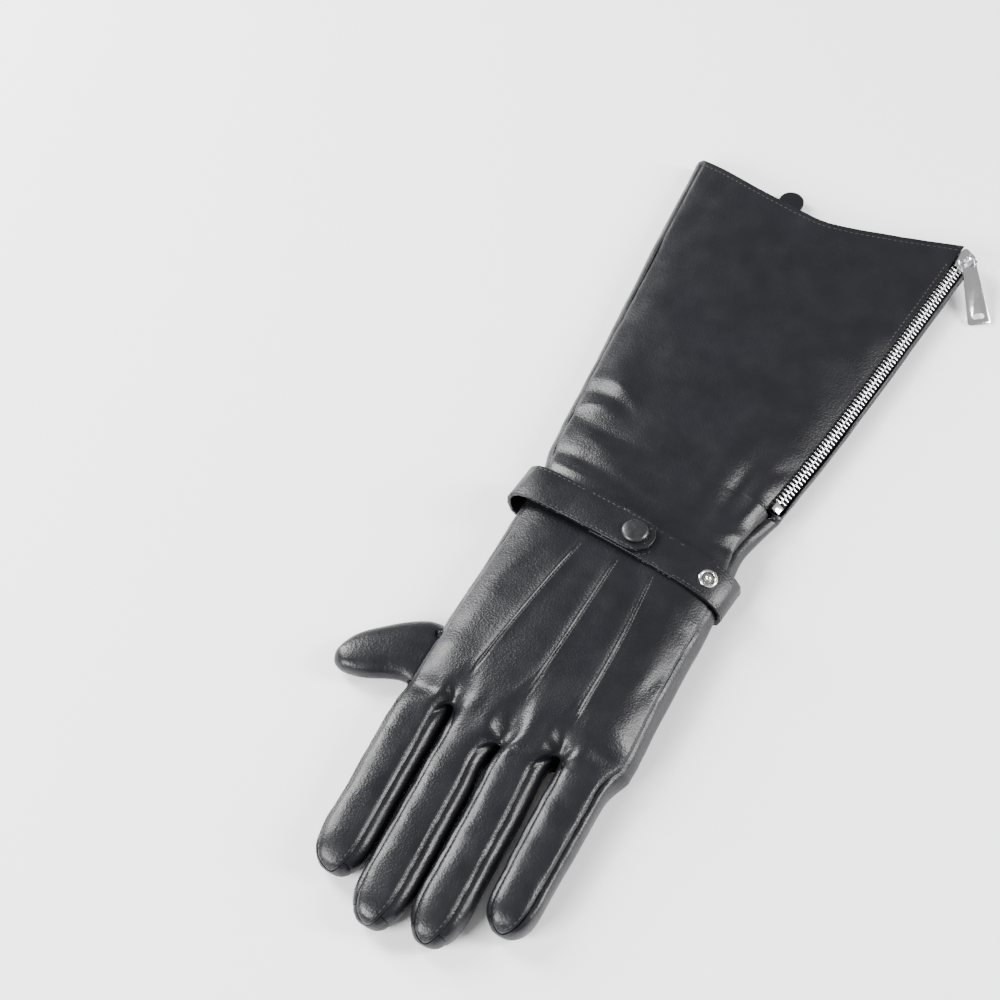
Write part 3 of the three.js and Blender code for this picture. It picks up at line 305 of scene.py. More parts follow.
blackLeather = makeLeather(leatherLook)
leatherInside = makeSuede(suedeLook)
polishedNickel = makeMetal(metalLook)
# the darker nickel made here is painted shade for the stud's dish
dullNickelPaintedShade = makeMetal(dullMetalPaintedShadeLook, "dullNickelPaintedShade")
zipTape = makeTape(tapeLook)
blackThread = makeThread(threadLook)
blackEnamel = makeEnamel(enamelLook)
print("finishes ready")


# leather: each CAD shell gives its outer skin, which is smoothed, dressed with folds and given its wall again
def handCentre(point):
    x, y, _ = point
    if y < -50:
        def middle(line):
            share = min((y + 55) / (line["end"] + 55), 1)
            return np.interp(share, (0, 0.5, 1), (line["root"], line["mid"], line["tip"]))
        line = min(fingerLines.values(), key=lambda each: abs(middle(each) - x))
        return Vector((middle(line), max(y, line["end"]), 7.8))
    left = np.interp(y, armEdges["y"], armEdges["left"])
    right = np.interp(y, armEdges["y"], armEdges["right"])
    height = 9.5 if y < 40 else (11.5 if y < 75 else 8)
    return Vector((min(max(x, left + 11), right - 11), max(y, -45), height))


def thumbCentre(point):
    start = Vector(thumbAxis["from"])
    run = Vector(thumbAxis["to"]) - start
    share = min(max((Vector(point) - start).dot(run) / run.length_squared, 0), 1)
    return start + run * share


def keepOuterSkin(piece, centreOf):
    form = openEdit(piece)
    wallSizes = (leatherWall["plain"], leatherWall["hem" if piece.name.startswith("cuff") else "crotch"])
    for face in form.faces:
        middle = face.calc_center_median() / mm
        away = (middle - centreOf(middle)).normalized()
        isSide = any(abs(edge.calc_length() / mm - wall) < 0.0012
                     for edge in face.edges for wall in wallSizes)
        face.select_set(isSide or face.normal.dot(away) < 0.12)
    bmesh.update_edit_mesh(piece.data)
    bpy.ops.mesh.delete(type="FACE")
    keepLargest(piece)


def keepLargest(piece):
    form = bmesh.from_edit_mesh(piece.data)
    left = set(form.faces)
    groups = []
    while left:
        group = {left.pop()}
        edge = list(group)
        while edge:
            face = edge.pop()
            for side in face.edges:
                for other in side.link_faces:
                    if other in left:
                        left.discard(other)
                        group.add(other)
                        edge.append(other)
        groups.append(group)
    groups.sort(key=len)
    for group in groups[:-1]:
        for face in group:
            face.select_set(True)
    bmesh.update_edit_mesh(piece.data)
    bpy.ops.mesh.delete(type="FACE")
    bpy.ops.mesh.select_all(action="SELECT")
    bpy.ops.mesh.tris_convert_to_quads(face_threshold=math.radians(55), shape_threshold=math.radians(65))
    closeEdit()


def smoothSkin(piece, levels):
    target = coordsOf(piece.data)
    cage = target.copy()
    modifier = piece.modifiers.new("fit", "SUBSURF")
    modifier.levels = modifier.render_levels = 2
    modifier.boundary_smooth = "PRESERVE_CORNERS"
    for _ in range(3):
        putCoords(piece.data, cage)
        graph = bpy.context.evaluated_depsgraph_get()
        smooth = coordsOf(piece.evaluated_get(graph).to_mesh())[: len(target)]
        cage += (target - smooth) * 0.8
    putCoords(piece.data, cage)
    piece.modifiers.remove(modifier)
    applyModifier(piece, "SUBSURF", levels=levels, render_levels=levels, boundary_smooth="PRESERVE_CORNERS")


def rimLoops(mesh):
    form = bmesh.new()
    form.from_mesh(mesh)
    left = {edge for edge in form.edges if edge.is_boundary}
    loops = []
    while left:
        edge = left.pop()
        chain = [edge.verts[0], edge.verts[1]]
        growing = True
        while growing:
            growing = False
            for nextEdge in chain[-1].link_edges:
                if nextEdge in left:
                    left.discard(nextEdge)
                    chain.append(nextEdge.other_vert(chain[-1]))
                    growing = True
                    break
        loops.append(np.array([vert.co[:] for vert in chain]))
    form.free()
    return loops


def resample(path, pitch):
    steps = np.linalg.norm(np.diff(path, axis=0), axis=1)
    along = np.concatenate([[0], np.cumsum(steps)])
    count = max(int(along[-1] / pitch), 1)
    spots = (np.arange(count) + 0.5) * along[-1] / count
    return np.stack([np.interp(spots, along, path[:, axis]) for axis in range(3)], axis=1)


def hemLine(x, side):
    across = np.clip((x - hem["middle"]) / hem["half"], -1, 1)
    reach = np.abs(across)
    return hem["low"] + np.where(across < 0, hem["fold"] * reach ** 1.5, hem[side] * reach ** 1.3)


def isHem(points):
    x, y = points[:, 0] / mm, points[:, 1] / mm
    return (np.abs(y - hemLine(x, "back")) < 2.2) | (np.abs(y - hemLine(x, "palm")) < 2.2)


def isZipEdge(points):
    return (points[:, 1] > zipFoot * mm) & (points[:, 0] > 44 * mm)


def isOpenEdge(points):
    return isHem(points) | isZipEdge(points)


# how a seam turns in: depth and width of the roll beside it, and the puckers along it
seamLook = {"depth": 0.85, "tipDepth": 0.3, "width": 2.2,
            "pucker": 0.22, "puckerPitch": 7.5, "puckerWidth": 7}


def tipShare(x, y):
    if y > -100 or abs(x) > 62:
        return 0.0
    line = min(fingerLines.values(), key=lambda each: abs(each["tip"] - x))
    return min(max((line["end"] + 7 - y) / 8, 0), 1)


def rollSeams(mesh, coords, normals, look):
    rim = np.concatenate([resample(loop, 0.4 * mm) for loop in rimLoops(mesh)])
    rim = rim[~isOpenEdge(rim)]
    tree = KDTree(len(rim))
    for index, point in enumerate(rim):
        tree.insert(point, index)
    tree.balance()
    distance = np.array([tree.find(point)[2] for point in coords]) / mm
    ends = np.array([tipShare(x, y) for x, y in coords[:, :2] / mm])
    depth = look["depth"] + (look["tipDepth"] - look["depth"]) * ends
    roll = np.clip(1 - distance / look["width"], 0, 1) ** 2 * depth
    near = np.clip(1 - distance / look["puckerWidth"], 0, 1) * np.clip(distance / 1.5, 0, 1)
    wave = np.array([noise.noise(Vector(point) * (1000 / look["puckerPitch"])) for point in coords])
    return coords + normals * ((wave * near * look["pucker"] * 2 - roll) * mm)[:, None]


def bumpsAt(x, y, table):
    rise = np.zeros(len(x))
    for row in table:
        turn = math.radians(row["turn"])
        along = ((x - row["x"]) * math.cos(turn) + (y - row["y"]) * math.sin(turn)) / row["long"]
        across = ((y - row["y"]) * math.cos(turn) - (x - row["x"]) * math.sin(turn)) / row["wide"]
        bow = across - row.get("bow", 0) * along ** 2
        rise += row["rise"] * np.exp(-along ** 2 - bow ** 2)
    return rise


def slackOf(coords, scale, seed):
    shift = Vector((seed, seed * 0.7, seed * 0.3))
    return np.array([noise.noise(Vector(point) * scale + shift) for point in coords])


# slack: size in mm and height of the soft undulation; fine: the same for the small one
slackLook = {"size": 24, "height": 0.5, "fineSize": 8, "fineHeight": 0.13}


def dressSlack(coords, normals, look, seed, strength=1.0):
    lift = slackOf(coords, 1000 / look["size"], seed) * look["height"]
    lift += slackOf(coords, 1000 / look["fineSize"], seed + 5) * look["fineHeight"]
    return coords + normals * (lift * strength * mm)[:, None]


def giveWall(piece, hemSide=None):
    coords = coordsOf(piece.data) / mm
    group = piece.vertex_groups.new(name="wall")
    thick = leatherWall["hem"] if hemSide else leatherWall["plain"]
    share = np.ones(len(coords))
    if hemSide:
        folded = coords[:, 1] > hemLine(coords[:, 0], hemSide) - leatherWall["hemWidth"]
        share = np.where(folded & (coords[:, 0] < 52), 1.0, leatherWall["plain"] / thick)
    for level in np.unique(share):
        group.add([int(index) for index in np.nonzero(share == level)[0]], float(level), "REPLACE")
    applyModifier(piece, "SOLIDIFY", thickness=thick * mm * 0.92, offset=-1, vertex_group="wall",
                  material_offset=1, material_offset_rim=0, use_quality_normals=True)
    smoothByAngle(piece, 55)


def makeSkin(node, name, centreOf, levels):
    piece = copyNode(node, name)
    keepOuterSkin(piece, centreOf)
    smoothSkin(piece, levels)
    return piece


def alongCurve(stops, values, place):
    stops, values = np.array(stops, float), np.array(values, float)
    slopes = np.empty(len(stops))
    slopes[1:-1] = (values[2:] - values[:-2]) / (stops[2:] - stops[:-2])
    slopes[0] = (values[1] - values[0]) / (stops[1] - stops[0])
    slopes[-1] = (values[-1] - values[-2]) / (stops[-1] - stops[-2])
    low = np.clip(np.searchsorted(stops, place) - 1, 0, len(stops) - 2)
    span = stops[low + 1] - stops[low]
    share = np.clip((place - stops[low]) / span, 0, 1)
    square, cube = share ** 2, share ** 3
    return (values[low] * (2 * cube - 3 * square + 1) + slopes[low] * span * (cube - 2 * square + share)
            + values[low + 1] * (3 * square - 2 * cube) + slopes[low + 1] * span * (cube - square))


# raised points: x of each line at four places along the hand, in mm
pointStops = (-64.1, -53, 2.5, 58)
pointRows = ((-23.4, -21.8, -15.2, -8.6), (4.2, 4.7, 6.7, 6.7), (27.8, 27.7, 27.2, 21.3))
# the CAD ridge is relaxed flat first, then a low rib and a fine groove are set beside each other
pointLook = {
    "flatFrom": -49, "flatTo": 54, "flatFade": 5, "relax": 4.5, "pull": 0.6, "rounds": 70,
    "rib": 0.2, "ribAt": -0.9, "ribWidth": 1.1, "groove": 0.7, "grooveAt": 0.1, "grooveWidth": 0.5,
    "from": -42, "to": 40, "fade": 10, "stitchAt": 0.75, "stitchFrom": (-30, -40, -32), "stitchSteps": 90,
}
crotches = ((-21.8, -53, 0.45), (4.7, -59.5, 0.7), (27.7, -53, 1.15))
puckerLook = {"rise": 0.32, "rays": 5, "near": 3.5, "far": 12, "dip": 0.5, "dipWidth": 4.5}


def relax(edges, coords, weight, rounds):
    near = np.bincount(edges.ravel(), minlength=len(coords))[:, None]
    for _ in range(rounds):
        total = np.zeros_like(coords)
        np.add.at(total, edges[:, 0], coords[edges[:, 1]])
        np.add.at(total, edges[:, 1], coords[edges[:, 0]])
        coords = coords + (total / near - coords) * weight[:, None]
    return coords


def pointOff(coords):
    x, y = coords[:, 0] / mm, coords[:, 1] / mm
    offs = np.array([x - alongCurve(pointStops, row, y) for row in pointRows])
    return offs[np.abs(offs).argmin(0), np.arange(len(x))]


def dressPoints(piece, coords, look):
    edges = np.array([edge.vertices[:] for edge in piece.data.edges])
    y = coords[:, 1] / mm
    inSpan = np.clip(np.minimum(y - look["flatFrom"], look["flatTo"] - y) / look["flatFade"], 0, 1)
    weight = np.clip(2 - np.abs(pointOff(coords)) / look["relax"] * 2, 0, 1) * inSpan * look["pull"]
    coords = relax(edges, coords, weight, look["rounds"])
    y, off = coords[:, 1] / mm, pointOff(coords)
    shown = np.clip(np.minimum(y - look["from"], look["to"] - y) / look["fade"], 0, 1)
    shown = shown * shown * (3 - 2 * shown)
    rise = look["rib"] * np.exp(-((off - look["ribAt"]) / look["ribWidth"]) ** 2)
    rise -= look["groove"] * np.exp(-((off - look["grooveAt"]) / look["grooveWidth"]) ** 2)
    return coords + np.array([[0, 0, 1]]) * (rise * shown * mm)[:, None]


def dressPuckers(coords, normals, look):
    x, y = coords[:, 0] / mm, coords[:, 1] / mm
    rise = np.zeros(len(x))
    for centreX, centreY, strength in crotches:
        reach = np.hypot(x - centreX, y - centreY)
        turn = np.arctan2(x - centreX, y - centreY)
        inRing = np.clip((reach - 1) / look["near"], 0, 1) * np.exp(-(reach / look["far"]) ** 2)
        wave = np.cos(turn * look["rays"] + 0.25 * reach + centreX)
        rise += look["rise"] * strength * inRing * wave
        rise -= look["dip"] * strength * np.exp(-(reach / look["dipWidth"]) ** 2)
    return coords + normals * (rise * mm)[:, None]


# folds and creases: place, reach along and across, turn in degrees and rise, in mm
fingerCreases = (
    {"x": -34, "y": -74, "long": 7, "wide": 1.6, "turn": 8, "rise": -0.35, "bow": 0.4},
    {"x": -32, "y": -92, "long": 7, "wide": 1.4, "turn": -4, "rise": -0.28, "bow": -0.3},
    {"x": -30, "y": -112, "long": 6, "wide": 1.3, "turn": 5, "rise": -0.2},
    {"x": -9, "y": -84, "long": 8, "wide": 1.7, "turn": -5, "rise": -0.33, "bow": 0.4},
    {"x": -7, "y": -103, "long": 7, "wide": 1.4, "turn": 6, "rise": -0.28},
    {"x": -6, "y": -122, "long": 6, "wide": 1.3, "turn": -6, "rise": -0.2},
    {"x": 15, "y": -80, "long": 7, "wide": 1.6, "turn": 6, "rise": -0.35, "bow": -0.4},
    {"x": 17, "y": -99, "long": 7, "wide": 1.4, "turn": -6, "rise": -0.3},
    {"x": 18, "y": -119, "long": 6, "wide": 1.3, "turn": 4, "rise": -0.2},
    {"x": 41, "y": -72, "long": 7, "wide": 1.7, "turn": -8, "rise": -0.35, "bow": 0.4},
    {"x": 42, "y": -90, "long": 6, "wide": 1.4, "turn": 5, "rise": -0.25},
    {"x": -33, "y": -52, "long": 9, "wide": 3.5, "turn": 14, "rise": -0.5, "bow": 0.5},
    {"x": 44, "y": -46, "long": 8, "wide": 3.2, "turn": -18, "rise": -0.6, "bow": 0.5},
    {"x": 42, "y": -34, "long": 8, "wide": 4.5, "turn": -22, "rise": 0.5},
    {"x": -36, "y": -30, "long": 10, "wide": 4, "turn": 24, "rise": 0.45},
    {"x": 47, "y": -8, "long": 16, "wide": 3, "turn": 78, "rise": -0.45},
    {"x": -30, "y": 22, "long": 18, "wide": 4, "turn": 64, "rise": 0.45},
    {"x": 38, "y": 24, "long": 16, "wide": 3.6, "turn": 100, "rise": 0.4},
    {"x": -14, "y": 34, "long": 10, "wide": 2.6, "turn": 84, "rise": -0.35},
    {"x": 16, "y": 36, "long": 11, "wide": 2.6, "turn": 95, "rise": -0.35},
)
cuffFolds = (
    {"x": -37, "y": 126, "long": 12, "wide": 2.8, "turn": -18, "rise": 0.95, "bow": -0.9},
    {"x": -38, "y": 118.5, "long": 13, "wide": 2.8, "turn": -8, "rise": -0.85, "bow": -0.6},
    {"x": -38, "y": 111, "long": 12, "wide": 2.6, "turn": -6, "rise": 0.8, "bow": -0.7},
    {"x": -31, "y": 99.5, "long": 17, "wide": 4, "turn": -10, "rise": -0.9, "bow": 0.3},
    {"x": -27, "y": 91, "long": 14, "wide": 3.4, "turn": -18, "rise": 0.65, "bow": 0.4},
    {"x": -30, "y": 80.5, "long": 18, "wide": 3.4, "turn": -6, "rise": -0.9},
    {"x": -29, "y": 72.5, "long": 18, "wide": 3, "turn": -8, "rise": 1.0, "bow": 0.5},
    {"x": 8, "y": 76, "long": 20, "wide": 3.6, "turn": -5, "rise": 0.55, "bow": 0.6},
    {"x": 10, "y": 86, "long": 18, "wide": 4, "turn": 4, "rise": -0.45},
    {"x": 35, "y": 100, "long": 24, "wide": 4.6, "turn": 86, "rise": -1.0},
    {"x": 45, "y": 92, "long": 15, "wide": 4, "turn": 80, "rise": 0.8},
    {"x": 40, "y": 76, "long": 10, "wide": 2.6, "turn": 24, "rise": 0.7, "bow": 0.8},
    {"x": 42, "y": 70, "long": 9, "wide": 2, "turn": 14, "rise": -0.5},
    {"x": 46, "y": 118, "long": 9, "wide": 3, "turn": 52, "rise": -0.5},
    {"x": 38, "y": 190, "long": 38, "wide": 8, "turn": 52, "rise": 0.9, "bow": 0.8},
    {"x": 50, "y": 216, "long": 26, "wide": 5, "turn": 58, "rise": -0.6},
    {"x": -10, "y": 160, "long": 48, "wide": 13, "turn": 66, "rise": 0.7},
    {"x": -42, "y": 186, "long": 36, "wide": 8, "turn": 84, "rise": 0.5},
    {"x": -52, "y": 235, "long": 20, "wide": 5, "turn": 82, "rise": -0.6},
    {"x": 18, "y": 244, "long": 34, "wide": 7, "turn": 12, "rise": 0.5},
)
underFolds = (
    {"x": -12, "y": 30, "long": 26, "wide": 3, "turn": 58, "rise": -0.55, "bow": 0.6},
    {"x": 18, "y": 8, "long": 24, "wide": 2.6, "turn": 18, "rise": -0.5, "bow": -0.6},
    {"x": 8, "y": -22, "long": 26, "wide": 2.6, "turn": 8, "rise": -0.45, "bow": 0.5},
    {"x": -10, "y": -88, "long": 8, "wide": 1.6, "turn": 0, "rise": -0.35},
    {"x": 16, "y": -86, "long": 8, "wide": 1.6, "turn": 0, "rise": -0.35},
    {"x": -33, "y": -84, "long": 8, "wide": 1.6, "turn": 0, "rise": -0.35},
    {"x": 41, "y": -80, "long": 8, "wide": 1.6, "turn": 0, "rise": -0.35},
)
underCuffFolds = (
    {"x": -30, "y": 92, "long": 20, "wide": 4, "turn": -12, "rise": -0.6},
    {"x": 6, "y": 104, "long": 24, "wide": 5, "turn": 8, "rise": -0.5},
    {"x": 20, "y": 180, "long": 46, "wide": 10, "turn": 72, "rise": -0.5},
    {"x": -30, "y": 210, "long": 40, "wide": 9, "turn": 96, "rise": -0.45},
)
# dips where the thumb enters its hole, so that neither piece shows through the other
holeCorner = ({"x": -44.2, "y": -26, "long": 3, "wide": 3, "turn": 0, "rise": -0.8},)
thumbRoot = ({"x": -42.5, "y": -17.5, "long": 5, "wide": 4, "turn": 0, "rise": -1.3},)
cornerHeight = 9  # the dip at the hole's corner works on the upper side only, above this height in mm


def dressFolds(coords, normals, table, strength=1.0):
    rise = bumpsAt(coords[:, 0] / mm, coords[:, 1] / mm, table)
    return coords + normals * (rise * strength * mm)[:, None]


def keepOffFloor(coords, lowest=0.05):
    low = coords[:, 2] < lowest * mm
    coords[low, 2] = lowest * mm
    return coords


rims = {}
surfaces = {}


def surfaceOf(piece):
    mesh = piece.data
    faces = [tuple(face.vertices) for face in mesh.polygons]
    return BVHTree.FromPolygons([tuple(point) for point in coordsOf(mesh)], faces)


def dressLeather(node, name, centreOf, levels, steps, seed, hemSide=None, slack=1.0):
    piece = makeSkin(node, name, centreOf, levels)
    normals = normalsOf(piece.data).copy()
    coords = coordsOf(piece.data)
    if node == "hand_back":
        coords = dressPoints(piece, coords, pointLook)
    coords = rollSeams(piece.data, coords, normals, seamLook)
    for step in steps:
        coords = step(coords, normals)
    coords = dressSlack(coords, normals, slackLook, seed, slack)
    putCoords(piece.data, keepOffFloor(coords))
    rims[name] = rimLoops(piece.data)
    surfaces[name] = surfaceOf(piece)
    giveWall(piece, hemSide)
    finishPiece(piece, [blackLeather, leatherInside], "leather", node)
    print(name, len(piece.data.polygons), "faces")
    return piece


fine = 3
backSteps = (
    lambda coords, normals: dressPuckers(coords, normals, puckerLook),
    lambda coords, normals: dressFolds(coords, normals, fingerCreases),
)
dressLeather("hand_back", "handBack", handCentre, fine, backSteps, 3)
dressLeather("hand_palm", "handPalm", handCentre, fine,
             (lambda coords, normals: dressFolds(coords, normals, underFolds),
              lambda coords, normals: dressFolds(coords, normals * (coords[:, 2:] > cornerHeight * mm),
                                                  holeCorner)), 11)
for node, name, seed in (("fourchette_index_middle", "sideWallIndexMiddle", 21),
                         ("fourchette_middle_ring", "sideWallMiddleRing", 22),
                         ("fourchette_ring_little", "sideWallRingLittle", 23)):
    dressLeather(node, name, handCentre, fine, (), seed, slack=0.5)
dressLeather("thumb", "thumbStall", thumbCentre, fine,
             (lambda coords, normals: dressFolds(coords, normals, thumbRoot),), 31, slack=0.7)
dressLeather("cuff_back", "cuffBack", handCentre, fine,
             (lambda coords, normals: dressFolds(coords, normals, cuffFolds),), 41, hemSide="back", slack=1.1)
dressLeather("cuff_palm", "cuffPalm", handCentre, fine,
             (lambda coords, normals: dressFolds(coords, normals, underCuffFolds),), 51, hemSide="palm")
print("leather ready")


# stitches: one small shape, copied along each seam into one mesh
stitchLook = {"length": 1.85, "radius": 0.25, "pitch": 2.6, "sink": 0.02}
seamStitch = {**stitchLook, "pitch": 2.3, "length": 1.4, "radius": 0.2}
strapStitch = {**stitchLook, "pitch": 2.5, "length": 1.6, "radius": 0.21}
pointStitch = {"length": 1.2, "radius": 0.16, "pitch": 1.85, "sink": 0.03}


def makeStitchShape(look):
    deselectAll()
    bpy.ops.mesh.primitive_uv_sphere_add(segments=6, ring_count=4, radius=1, location=(0, 0, 0))
    shape = bpy.context.object
    bpy.ops.object.mode_set(mode="EDIT")
    bpy.ops.mesh.select_all(action="SELECT")
    bpy.ops.transform.rotate(value=math.pi / 2, orient_axis="Y", center_override=(0, 0, 0))
    half = look["length"] * mm / 2
    bpy.ops.transform.resize(value=(half, look["radius"] * mm * 1.15, look["radius"] * mm),
                             center_override=(0, 0, 0))
    bpy.ops.object.mode_set(mode="OBJECT")
    corners = coordsOf(shape.data)
    faces = [tuple(face.vertices) for face in shape.data.polygons]
    bpy.data.objects.remove(shape)
    return corners, faces


def stitchFrames(path, surfaceNames, look):
    spots = resample(path, look["pitch"] * mm)
    frames = []
    for index, spot in enumerate(spots):
        before = spots[max(index - 1, 0)]
        after = spots[min(index + 1, len(spots) - 1)]
        run = Vector(after - before)
        hits = [surfaces[name].find_nearest(Vector(spot)) for name in surfaceNames]
        place, normal, _, _ = min((hit for hit in hits if hit[0] is not None), key=lambda hit: hit[3])
        if run.length < 1e-6:
            continue
        run = (run - normal * run.dot(normal)).normalized()
        frames.append((place - normal * (look["sink"] * mm), run, normal.cross(run), normal))
    return frames


def meshPiece(name, points, polygons):
    mesh = bpy.data.meshes.new(name)
    mesh.from_pydata(points.tolist(), [], polygons)
    piece = bpy.data.objects.new(name, mesh)
    bpy.context.scene.collection.objects.link(piece)
    return piece


def sew(name, paths, surfaceNames, look=stitchLook):
    corners, faces = stitchShape
    points, polygons = [], []
    for path in paths:
        for place, run, side, normal in stitchFrames(path, surfaceNames, look):
            turn = np.array([run, side, normal])
            start = len(points) * len(corners)
            points.append(corners @ turn + np.array(place))
            polygons += [tuple(start + corner for corner in face) for face in faces]
    piece = meshPiece(name, keepOffFloor(np.concatenate(points), 0.02), polygons)
    piece.data.polygons.foreach_set("use_smooth", [True] * len(polygons))
    print(name, len(points), "stitches")
    return finishPiece(piece, [blackThread], "leather")


def insetPath(path, surface, inset):
    moved = []
    for index, spot in enumerate(path):
        run = Vector(path[min(index + 1, len(path) - 1)] - path[max(index - 1, 0)])
        normal = surface.find_nearest(Vector(spot))[1]
        side = normal.cross(run).normalized() * inset * mm
        best = min((Vector(spot) + side, Vector(spot) - side), key=lambda each: surface.find_nearest(each)[3])
        moved.append(surface.find_nearest(best)[0])
    return np.array(moved)


def runsOf(path, keep):
    kept = keep(path)
    runs, start = [], None
    for index, value in enumerate(list(kept) + [False]):
        if value and start is None:
            start = index
        if not value and start is not None:
            if index - start > 3:
                runs.append(path[start:index])
            start = None
    if len(runs) > 1 and kept[0] and kept[-1]:
        runs[0] = np.concatenate([runs.pop(), runs[0]])
    return runs


def edgeRuns(name, keep, inset, smooth=1.0):
    runs = []
    for loop in rims[name]:
        if len(loop) < 8:
            continue
        for run in runsOf(resample(loop, smooth * mm), keep):
            runs.append(insetPath(run, surfaces[name], inset))
    return runs


# which parts of a rim are sewn, by place in mm
def zipSide(path):
    x, y = path[:, 0] / mm, path[:, 1] / mm
    return (y > 103) & (y < 270) & (x > 46)


def fingerEdge(path):
    x, y = path[:, 0] / mm, path[:, 1] / mm
    return (y < -60) & (y > -150) & (np.abs(x) < 70)


def outerSide(path):
    x, y = path[:, 0] / mm, path[:, 1] / mm
    return (y > -60) & (y < 34) & (x > 30)


stitchShape = makeStitchShape(stitchLook)
sew("hemStitchesBack", edgeRuns("cuffBack", isHem, 2.8), ["cuffBack"])
sew("hemStitchesPalm", edgeRuns("cuffPalm", isHem, 2.8), ["cuffPalm"])
sew("zipStitchesBack", edgeRuns("cuffBack", zipSide, 1.9), ["cuffBack"])
sew("zipStitchesPalm", edgeRuns("cuffPalm", zipSide, 1.9), ["cuffPalm"])

sew("fingerStitches", edgeRuns("handBack", fingerEdge, 1.5), ["handBack"], seamStitch)
sew("outerSeamStitches", edgeRuns("handBack", outerSide, 1.5), ["handBack"], seamStitch)


def pointPaths(look):
    paths = []
    for row, start in zip(pointRows, look["stitchFrom"]):
        y = np.linspace(start, look["to"] - 1, look["stitchSteps"])
        x = alongCurve(pointStops, row, y)
        path = []
        for spotX, spotY in zip(x + look["stitchAt"], y):
            hit = surfaces["handBack"].ray_cast(Vector((spotX * mm, spotY * mm, 0.06)), Vector((0, 0, -1)))
            path.append(hit[0][:])
        paths.append(np.array(path))
    return paths


sew("pointStitches", pointPaths(pointLook), ["handBack"], pointStitch)
print("stitches ready")


# strap: the CAD belt with soft edges and a line of stitches along both
strapLook = {"edge": 0.5, "inset": 1.9, "sag": 0.16, "thick": 1.8}


def strapEdges(mesh, thick):
    form = bmesh.new()
    form.from_mesh(mesh)
    outer = set()
    for edge in form.edges:
        if abs(edge.calc_length() / mm - thick) < 0.03:
            outer.add(max(edge.verts, key=lambda vert: strapReach(vert.co)))
    chains = []
    while outer:
        chain = [outer.pop()]
        for end in (0, -1):
            growing = True
            while growing:
                growing = False
                for edge in chain[end].link_edges:
                    other = edge.other_vert(chain[end])
                    if other in outer and edge.calc_length() < 12 * mm:
                        outer.discard(other)
                        chain.insert(0, other) if end == 0 else chain.append(other)
                        growing = True
                        break
        if len(chain) > 10:
            chains.append(np.array([vert.co[:] for vert in chain]))
    form.free()
    return chains


def strapReach(point):
    x, _, z = Vector(point) / mm
    return math.hypot(x - min(max(x, -30), 38), z - 11.5)


strap = copyNode("wrist_strap", "wristStrap")
strapChains = strapEdges(strap.data, strapLook["thick"])
roundEdges(strap, strapLook["edge"], 3, 40)
strapCoords = coordsOf(strap.data)
strapCoords += normalsOf(strap.data) * (slackOf(strapCoords, 160, 61) * strapLook["sag"] * mm)[:, None]
putCoords(strap.data, strapCoords)
surfaces["wristStrap"] = surfaceOf(strap)
finishPiece(strap, [blackLeather], "leather", "wrist_strap")
sew("strapStitches", [insetPath(resample(chain, 1.0 * mm), surfaces["wristStrap"], strapLook["inset"])
                      for chain in strapChains], ["wristStrap"], strapStitch)

tab = copyNode("hem_tab", "hemTab")
roundEdges(tab, 0.4, 3, 40)
finishPiece(tab, [blackLeather], "leather", "hem_tab")
print("strap ready")


# hardware: the CAD shapes with worn, rounded edges
hardware = (
    {"node": "snap_cap", "name": "snapCap", "edge": 0.3, "slot": "enamel", "finish": blackEnamel},
    {"node": "zip_bottom_stop", "name": "zipBottomStop", "edge": 0.45, "slot": "metal",
     "finish": polishedNickel},
    {"node": "zip_slider", "name": "zipSlider", "edge": 0.28, "slot": "metal", "finish": polishedNickel},
    {"node": "zip_pull", "name": "zipPull", "edge": 0.28, "slot": "metal", "finish": polishedNickel},
    {"node": "zip_tape_back", "name": "zipTapeBack", "edge": 0.12, "slot": "tape", "finish": zipTape},
    {"node": "zip_tape_palm", "name": "zipTapePalm", "edge": 0.12, "slot": "tape", "finish": zipTape},
)
for row in hardware:
    piece = copyNode(row["node"], row["name"])
    roundEdges(piece, row["edge"], 2, 32)
    finishPiece(piece, [row["finish"]], row["slot"], row["node"])
    print(row["name"], len(piece.data.polygons), "faces")


# snap stud: a rolled ring, a shallow dish and a ball, set square to the strap under it; the dish gets a
# darker nickel whose colour is painted shade in the hollow between ring and ball
studLook = {"ring": 3.55, "wire": 0.68, "dish": 2.55, "ball": 1.45}


def middleOf(node):
    low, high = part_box(node)
    return (low + high) / 2


def makeStud(look):
    deselectAll()
    bpy.ops.mesh.primitive_torus_add(major_radius=look["ring"] * mm, minor_radius=look["wire"] * mm,
                                     major_segments=48, minor_segments=12, location=(0, 0, 0.35 * mm))
    stud = bpy.context.object
    bpy.ops.mesh.primitive_cylinder_add(vertices=40, radius=look["dish"] * mm, depth=0.7 * mm,
                                        location=(0, 0, -0.1 * mm))
    dish = bpy.context.object
    # the dish takes the darker nickel, painted shade in the hollow between ring and ball
    for piece, slot in ((stud, 0), (dish, 1)):
        for material in (polishedNickel, dullNickelPaintedShade):
            piece.data.materials.append(material)
        for face in piece.data.polygons:
            face.material_index = slot
    bpy.ops.mesh.primitive_uv_sphere_add(segments=28, ring_count=14, radius=look["ball"] * mm,
                                         location=(0, 0, 0.6 * mm))
    ball = bpy.context.object
    ball.data.materials.append(polishedNickel)
    deselectAll()
    for piece in (stud, dish, ball):
        piece.select_set(True)
    bpy.context.view_layer.objects.active = stud
    bpy.ops.object.join()
    stud.name = "snapStud"
    place, normal, _, _ = surfaces["wristStrap"].find_nearest(middleOf("snap_stud"))
    turn = normal.to_track_quat("Z", "Y").to_matrix().to_4x4()
    stud.data.transform(Matrix.Translation(place) @ turn @ stud.matrix_basis)
    stud.matrix_basis = Matrix.Identity(4)
    smoothByAngle(stud)
    return stud


finishPiece(makeStud(studLook), [], "metal", "snap_stud")


